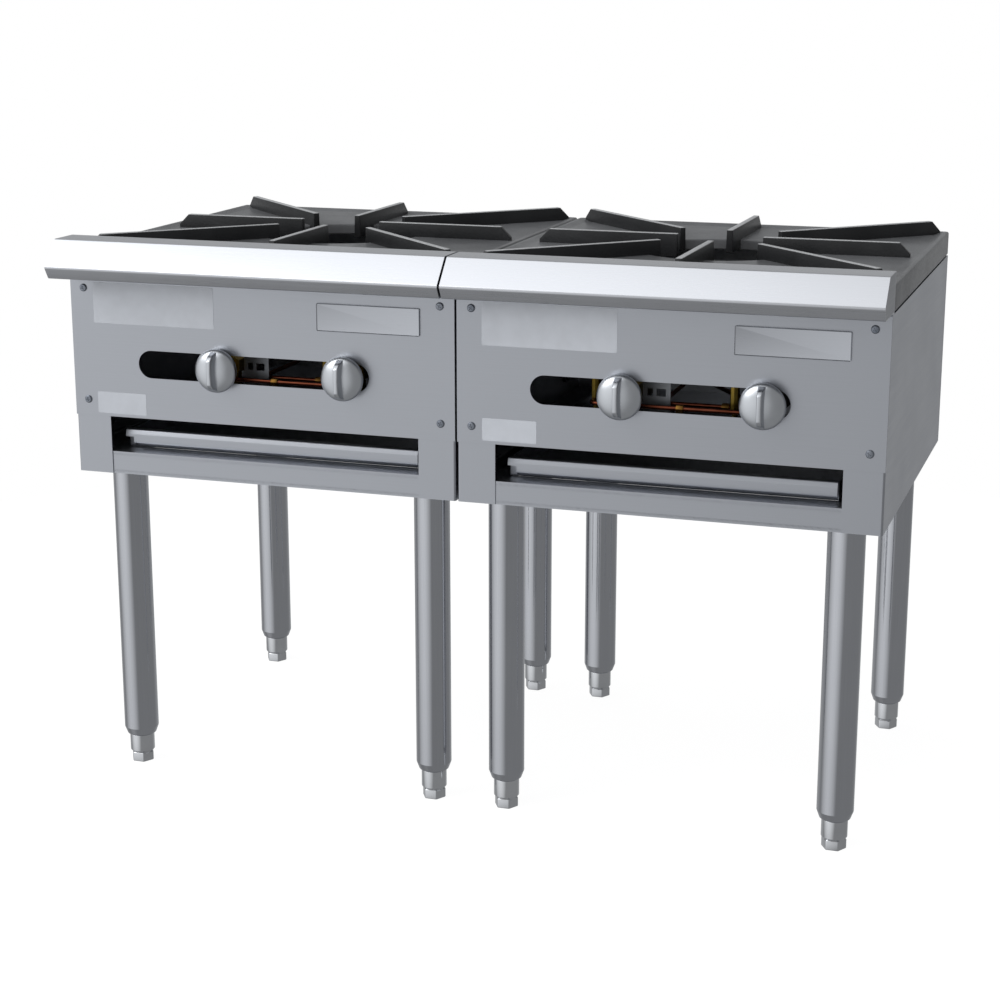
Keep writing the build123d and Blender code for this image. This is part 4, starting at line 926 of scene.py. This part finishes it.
def fin(name, inner, outer):
    """Radial fin along +x: hanging nose, level top, sloped outer end, thinner towards the top."""
    slope, collar = 12.0, OPENING_RADIUS + 4.0
    outline = [(inner, FIN_NOSE_BOTTOM), (inner, FIN_TOP), (outer - slope, FIN_TOP), (outer, FIN_TOP - slope),
               (outer, FIN_FOOT), (collar, FIN_FOOT), (collar, FIN_NOSE_BOTTOM)]
    shape = bmesh.new()
    sides = []
    for hand in (-1, 1):
        sides.append([shape.verts.new((x, hand * (4.25 - 0.75 * max(0.0, z - 612.0) / 18.5), z))
                      for x, z in outline])
    shape.faces.new(sides[0])
    shape.faces.new(sides[1][::-1])
    for index in range(len(outline)):
        after = (index + 1) % len(outline)
        shape.faces.new([sides[0][index], sides[1][index], sides[1][after], sides[0][after]])
    made = piece(name, shape, "iron")
    return soften(made, 0.8, 3, 25)


def cast_top(side):
    """Lift-off cast iron top: the plate, and eight fins set round its opening."""
    low, high = (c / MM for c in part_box(side + "_top_grate"))
    width = high.x - low.x
    centre = (width / 2, BURNER_Y)
    plate = piece(side + "_cast_top", cast_plate(width, centre), "iron", origin(side))
    # every face of the plate is marked for the painted sheen that lightens it; the fins joined below are not
    bleached = plate.data.attributes.new("bleached", "FLOAT", "FACE")
    bleached.data.foreach_set("value", [1.0] * len(plate.data.polygons))
    straight, corner = fin("straight_fin", 49.0, 212.0), fin("corner_fin", 80.0, 306.0)
    middle = (origin(side) + Vector((*centre, 0.0))) * MM
    made = grow(plate, FINS, straight_fin=straight, corner_fin=corner, pairs=4, centre=tuple(middle),
                material=FINISH["iron"])
    for used in (straight, corner):
        bpy.data.objects.remove(used)
    return mounted(made, side + "_grate", "cast_top", side + "_top_grate")


# ---- burners ----

def ported(outline, sides, band, every, depth):
    """Turned burner casting whose port band is sunk at every few sides."""
    shape = lathe(outline, sides)
    shape.faces.ensure_lookup_table()
    start = band * sides
    openings = [shape.faces[start + k] for k in range(0, sides, every)]
    for face in openings:
        inward = -face.calc_center_median().xy.normalized().to_3d() * depth
        sunk = bmesh.ops.extrude_face_region(shape, geom=[face])
        corners = [v for v in sunk["geom"] if isinstance(v, bmesh.types.BMVert)]
        bmesh.ops.translate(shape, verts=corners, vec=inward)
        bmesh.ops.delete(shape, geom=[face], context="FACES_ONLY")
    return shape


def burners(side):
    """Ring burner round a centre head, both with a crowned top, open gas ports, feet and a tube socket."""
    low, high = (c / MM - origin(side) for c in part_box(side + "_outer_burner"))
    middle = origin(side) + Vector(((low.x + high.x) / 2, BURNER_Y, 0.0))
    foot, base, top = BURNER_FOOT, 549.0, 576.0
    spread, lug = 25.0, 9.0
    socket = lathe([(14.0, foot), (14.0, base + 1), (13.0, base + 1), (13.0, foot), (14.0, foot)], 48)
    ring = [(62.0, base), (88.0, base), (88.0, top - 5.4), (86.6, top - 2.6), (81.5, top - 0.2), (78.0, top),
            (72.0, top), (68.5, top - 0.2), (63.4, top - 2.6), (62.0, top - 5.4), (62.0, base)]
    head = [(0, base), (38.0, base), (38.0, top - 6.4), (36.4, top - 3.4), (29.0, top - 0.2), (25.0, top),
            (7.0, top), (6.0, top - 1.2), (0, top - 1.2)]
    kinds = (("ring", ported(ring, 160, 2, 5, 5.0), 75.0, (-46.6, -58.77), "outer"),
             ("centre", ported(head, 72, 2, 4, 4.0), 33.5, (0.0, 0.0), "inner"))
    for name, shape, radius, place, node in kinds:
        reach = math.sqrt(radius ** 2 - spread ** 2)
        feet = []
        for x in (-reach, reach):
            for y in (-spread, spread):
                corners = eased([(x - lug / 2, y - lug / 2), (x + lug / 2, y - lug / 2),
                                 (x + lug / 2, y + lug / 2), (x - lug / 2, y + lug / 2)], 1.0, 3, True)
                feet.append(prism([tuple(corner) for corner in corners], foot, base + 1))
        collar = socket.copy()
        bmesh.ops.translate(collar, verts=collar.verts, vec=(*place, 0.0))
        whole = merged(shape, *feet, collar)
        bmesh.ops.remove_doubles(whole, verts=whole.verts, dist=0.001)
        made = piece(f"{side}_{name}_burner", whole, "burner", middle)
        mounted(made, "battery", "burner_iron", f"{side}_{node}_burner")
    socket.free()


# ---- gas train ----

def gas_pipe(side):
    """Steel pipe across the front, a screwed elbow, and the run back to the threaded gas inlet."""
    start, corner = origin(side), Vector((402.0, 40.0, 455.0))
    radius, bore, left, rear_end = 13.3, 10.5, 8.0, 492.0
    reach = rear_end - corner.y
    front = across(lathe([(0, left), (radius - 1, left), (radius, left + 1), (radius, corner.x - 10),
                          (0, corner.x - 10)], 48))
    thread = [(radius - 1.0 * (k % 2), reach - 21.0 + 0.9 * k) for k in range(23)]
    run = turned_back(lathe([(0, 10), (radius, 10), *thread, (11.9, reach), (bore, reach), (bore, reach - 50),
                             (0, reach - 50)], 48))
    band = [(radius, 0), (18.4, 0), (19.4, 1), (19.4, 8), (18.4, 9), (radius, 9), (radius, 0)]
    collars = [moved(across(lathe(band, 48)), (corner.x - 28, corner.y, corner.z)),
               moved(turned_back(lathe(band, 48)), corner + Vector((0, 19, 0)))]
    pipe = merged(moved(front, (0, corner.y, corner.z)), moved(run, corner), *collars)
    bmesh.ops.remove_doubles(pipe, verts=pipe.verts, dist=0.001)
    mounted(piece(side + "_gas_pipe", pipe, "pipe", start), "battery", "pipe", side + "_manifold")
    bend = [start + corner + Vector(leg) for leg in ((-24, 0, 0), (0, 0, 0), (0, 24, 0))]
    mounted(tube(side + "_pipe_elbow", bend, 17.0, 16.0, "pipe", 48), "battery", "pipe", side + "_manifold")


def pilot_lines(side):
    """Bent copper tubes from the pilot valves to the pilot heads, with their brass nuts."""
    start, level, low, foot = origin(side), 477.5, 470.0, 554.0
    routes = (("front", [(143, 35, level), (143, 17, level), (312.5, 17, level), (312.5, 60, level),
                         (232.6, 198, low), (232.6, 198, foot)]),
              ("rear", [(288, 40, level), (214, 40, level), (214, 148, level), (214, 148, foot)]))
    for name, points in routes:
        path = [start + Vector(point) for point in points]
        made = tube(f"{side}_{name}_pilot_tube", path, 2.4, 9.0, "copper")
        mounted(made, "battery", "copper", "pilot_tubes")
    nuts = [moved(across(prism(circle(4.4, sides=6), 0.0, 8.0)), place)
            for place in ((279.5, 40, level), (236, 17, level))]
    # brass nuts in a darker tone: painted shade
    made = piece(side + "_pilot_nuts", merged(*nuts), "bronze", start)
    mounted(soften(made, 0.5, 2, 40), "battery", "brass")


def mixing_tubes(side):
    """Cast mixing tubes with a flared, bored mouth and swept bends up to the burners."""
    start, level, mouth_front, socket = origin(side), CONTROL_HEIGHT, 60.0, BURNER_FOOT
    mouth = [(0, 44), (9, 44), (9, 2.5), (11.5, 0), (18.2, 0), (19, 0.8), (19, 4), (13, 20), (13, 46),
             (0, 46)]
    centre = RANGE_WIDTH / 2
    routes = (("outer", [(OUTER_KNOB_X, 105, level), (OUTER_KNOB_X, 186.2, level),
                         (OUTER_KNOB_X, 186.2, socket)]),
              ("inner", [(INNER_KNOB_X, 105, level), (INNER_KNOB_X, 140, level),
                         (centre, BURNER_Y, level), (centre, BURNER_Y, socket)]))
    mouths = [moved(turned_back(lathe(mouth, 48)), (points[0][0], mouth_front, level))
              for _, points in routes]
    made = piece(side + "_mixer_mouths", merged(*mouths), "burner", start)
    mounted(made, "battery", "burner_iron", side + "_mixer_tubes")
    for name, points in routes:
        path = [start + Vector(point) for point in points]
        made = tube(f"{side}_{name}_mixing_tube", path, 13.0, 28.0, "burner", 40)
        mounted(made, "battery", "burner_iron", side + "_mixer_tubes")


# ---- bare plates on the control panel ----

def bare_plate(side):
    """Bare maker's place: thin bright plate with a raised rim, nothing on it."""
    x0, x1, z0, z1 = 299.5, 418.0, 541.0, 571.0
    rim, deep = 2.4, 0.9
    outer = [(p.x, p.y) for p in eased([(x0, z0), (x1, z0), (x1, z1), (x0, z1)], 1.2, 4, True)]
    shape = prism(outer, 0.0, 2.0)
    roof = max(shape.faces, key=lambda face: face.calc_center_median().z)
    bmesh.ops.inset_individual(shape, faces=[roof], thickness=rim, depth=0.0)
    bmesh.ops.inset_individual(shape, faces=[roof], thickness=0.7, depth=-deep)
    made = piece(side + "_bare_plate", turned_to_front(shape), "plate", origin(side))
    soften(made, 0.5, 2, 40)
    return mounted(made, "battery", "stainless")


def bare_label(side, name, x0, x1, z0, z1, finish):
    """Bare film label with round corners."""
    outer = [(p.x, p.y) for p in eased([(x0, z0), (x1, z0), (x1, z1), (x0, z1)], 1.5, 5, True)]
    made = piece(f"{side}_{name}", turned_to_front(prism(outer, 0.0, 0.2)), finish, origin(side))
    return mounted(made, "battery", "stainless")


bpy.context.scene.view_settings.view_transform = "Standard"
camera()
studio_world()
soft_box("key", (-3.2, -2.6, 3.2), (0.0, 0.0, 0.5), 3.0, 45.0)
soft_box("front fill", (0.9, -3.6, 1.2), (0.0, 0.0, 0.45), 2.4, 50.0).visible_glossy = False
floor()
finish_nodes()

REPEAT, TUBE, FINS = repeat_tree(), tube_tree(), fin_tree()
legs()
screws()
for side in SIDES:
    for which in ("outer", "inner"):
        knob(side, which)
    for corner in CORNERS:
        foot(side, corner)
    nose(side)
    bottom_rail(side)
    drip_tray(side)
    cast_top(side)
    burners(side)
    gas_pipe(side)
    pilot_lines(side)
    mixing_tubes(side)
    bare_plate(side)
    bare_label(side, "upper_label", 28.0, 176.0, 535.5, 581.5, "film")
    bare_label(side, "lower_label", 28.3, 89.0, 432.5, 457.0, "white_label")
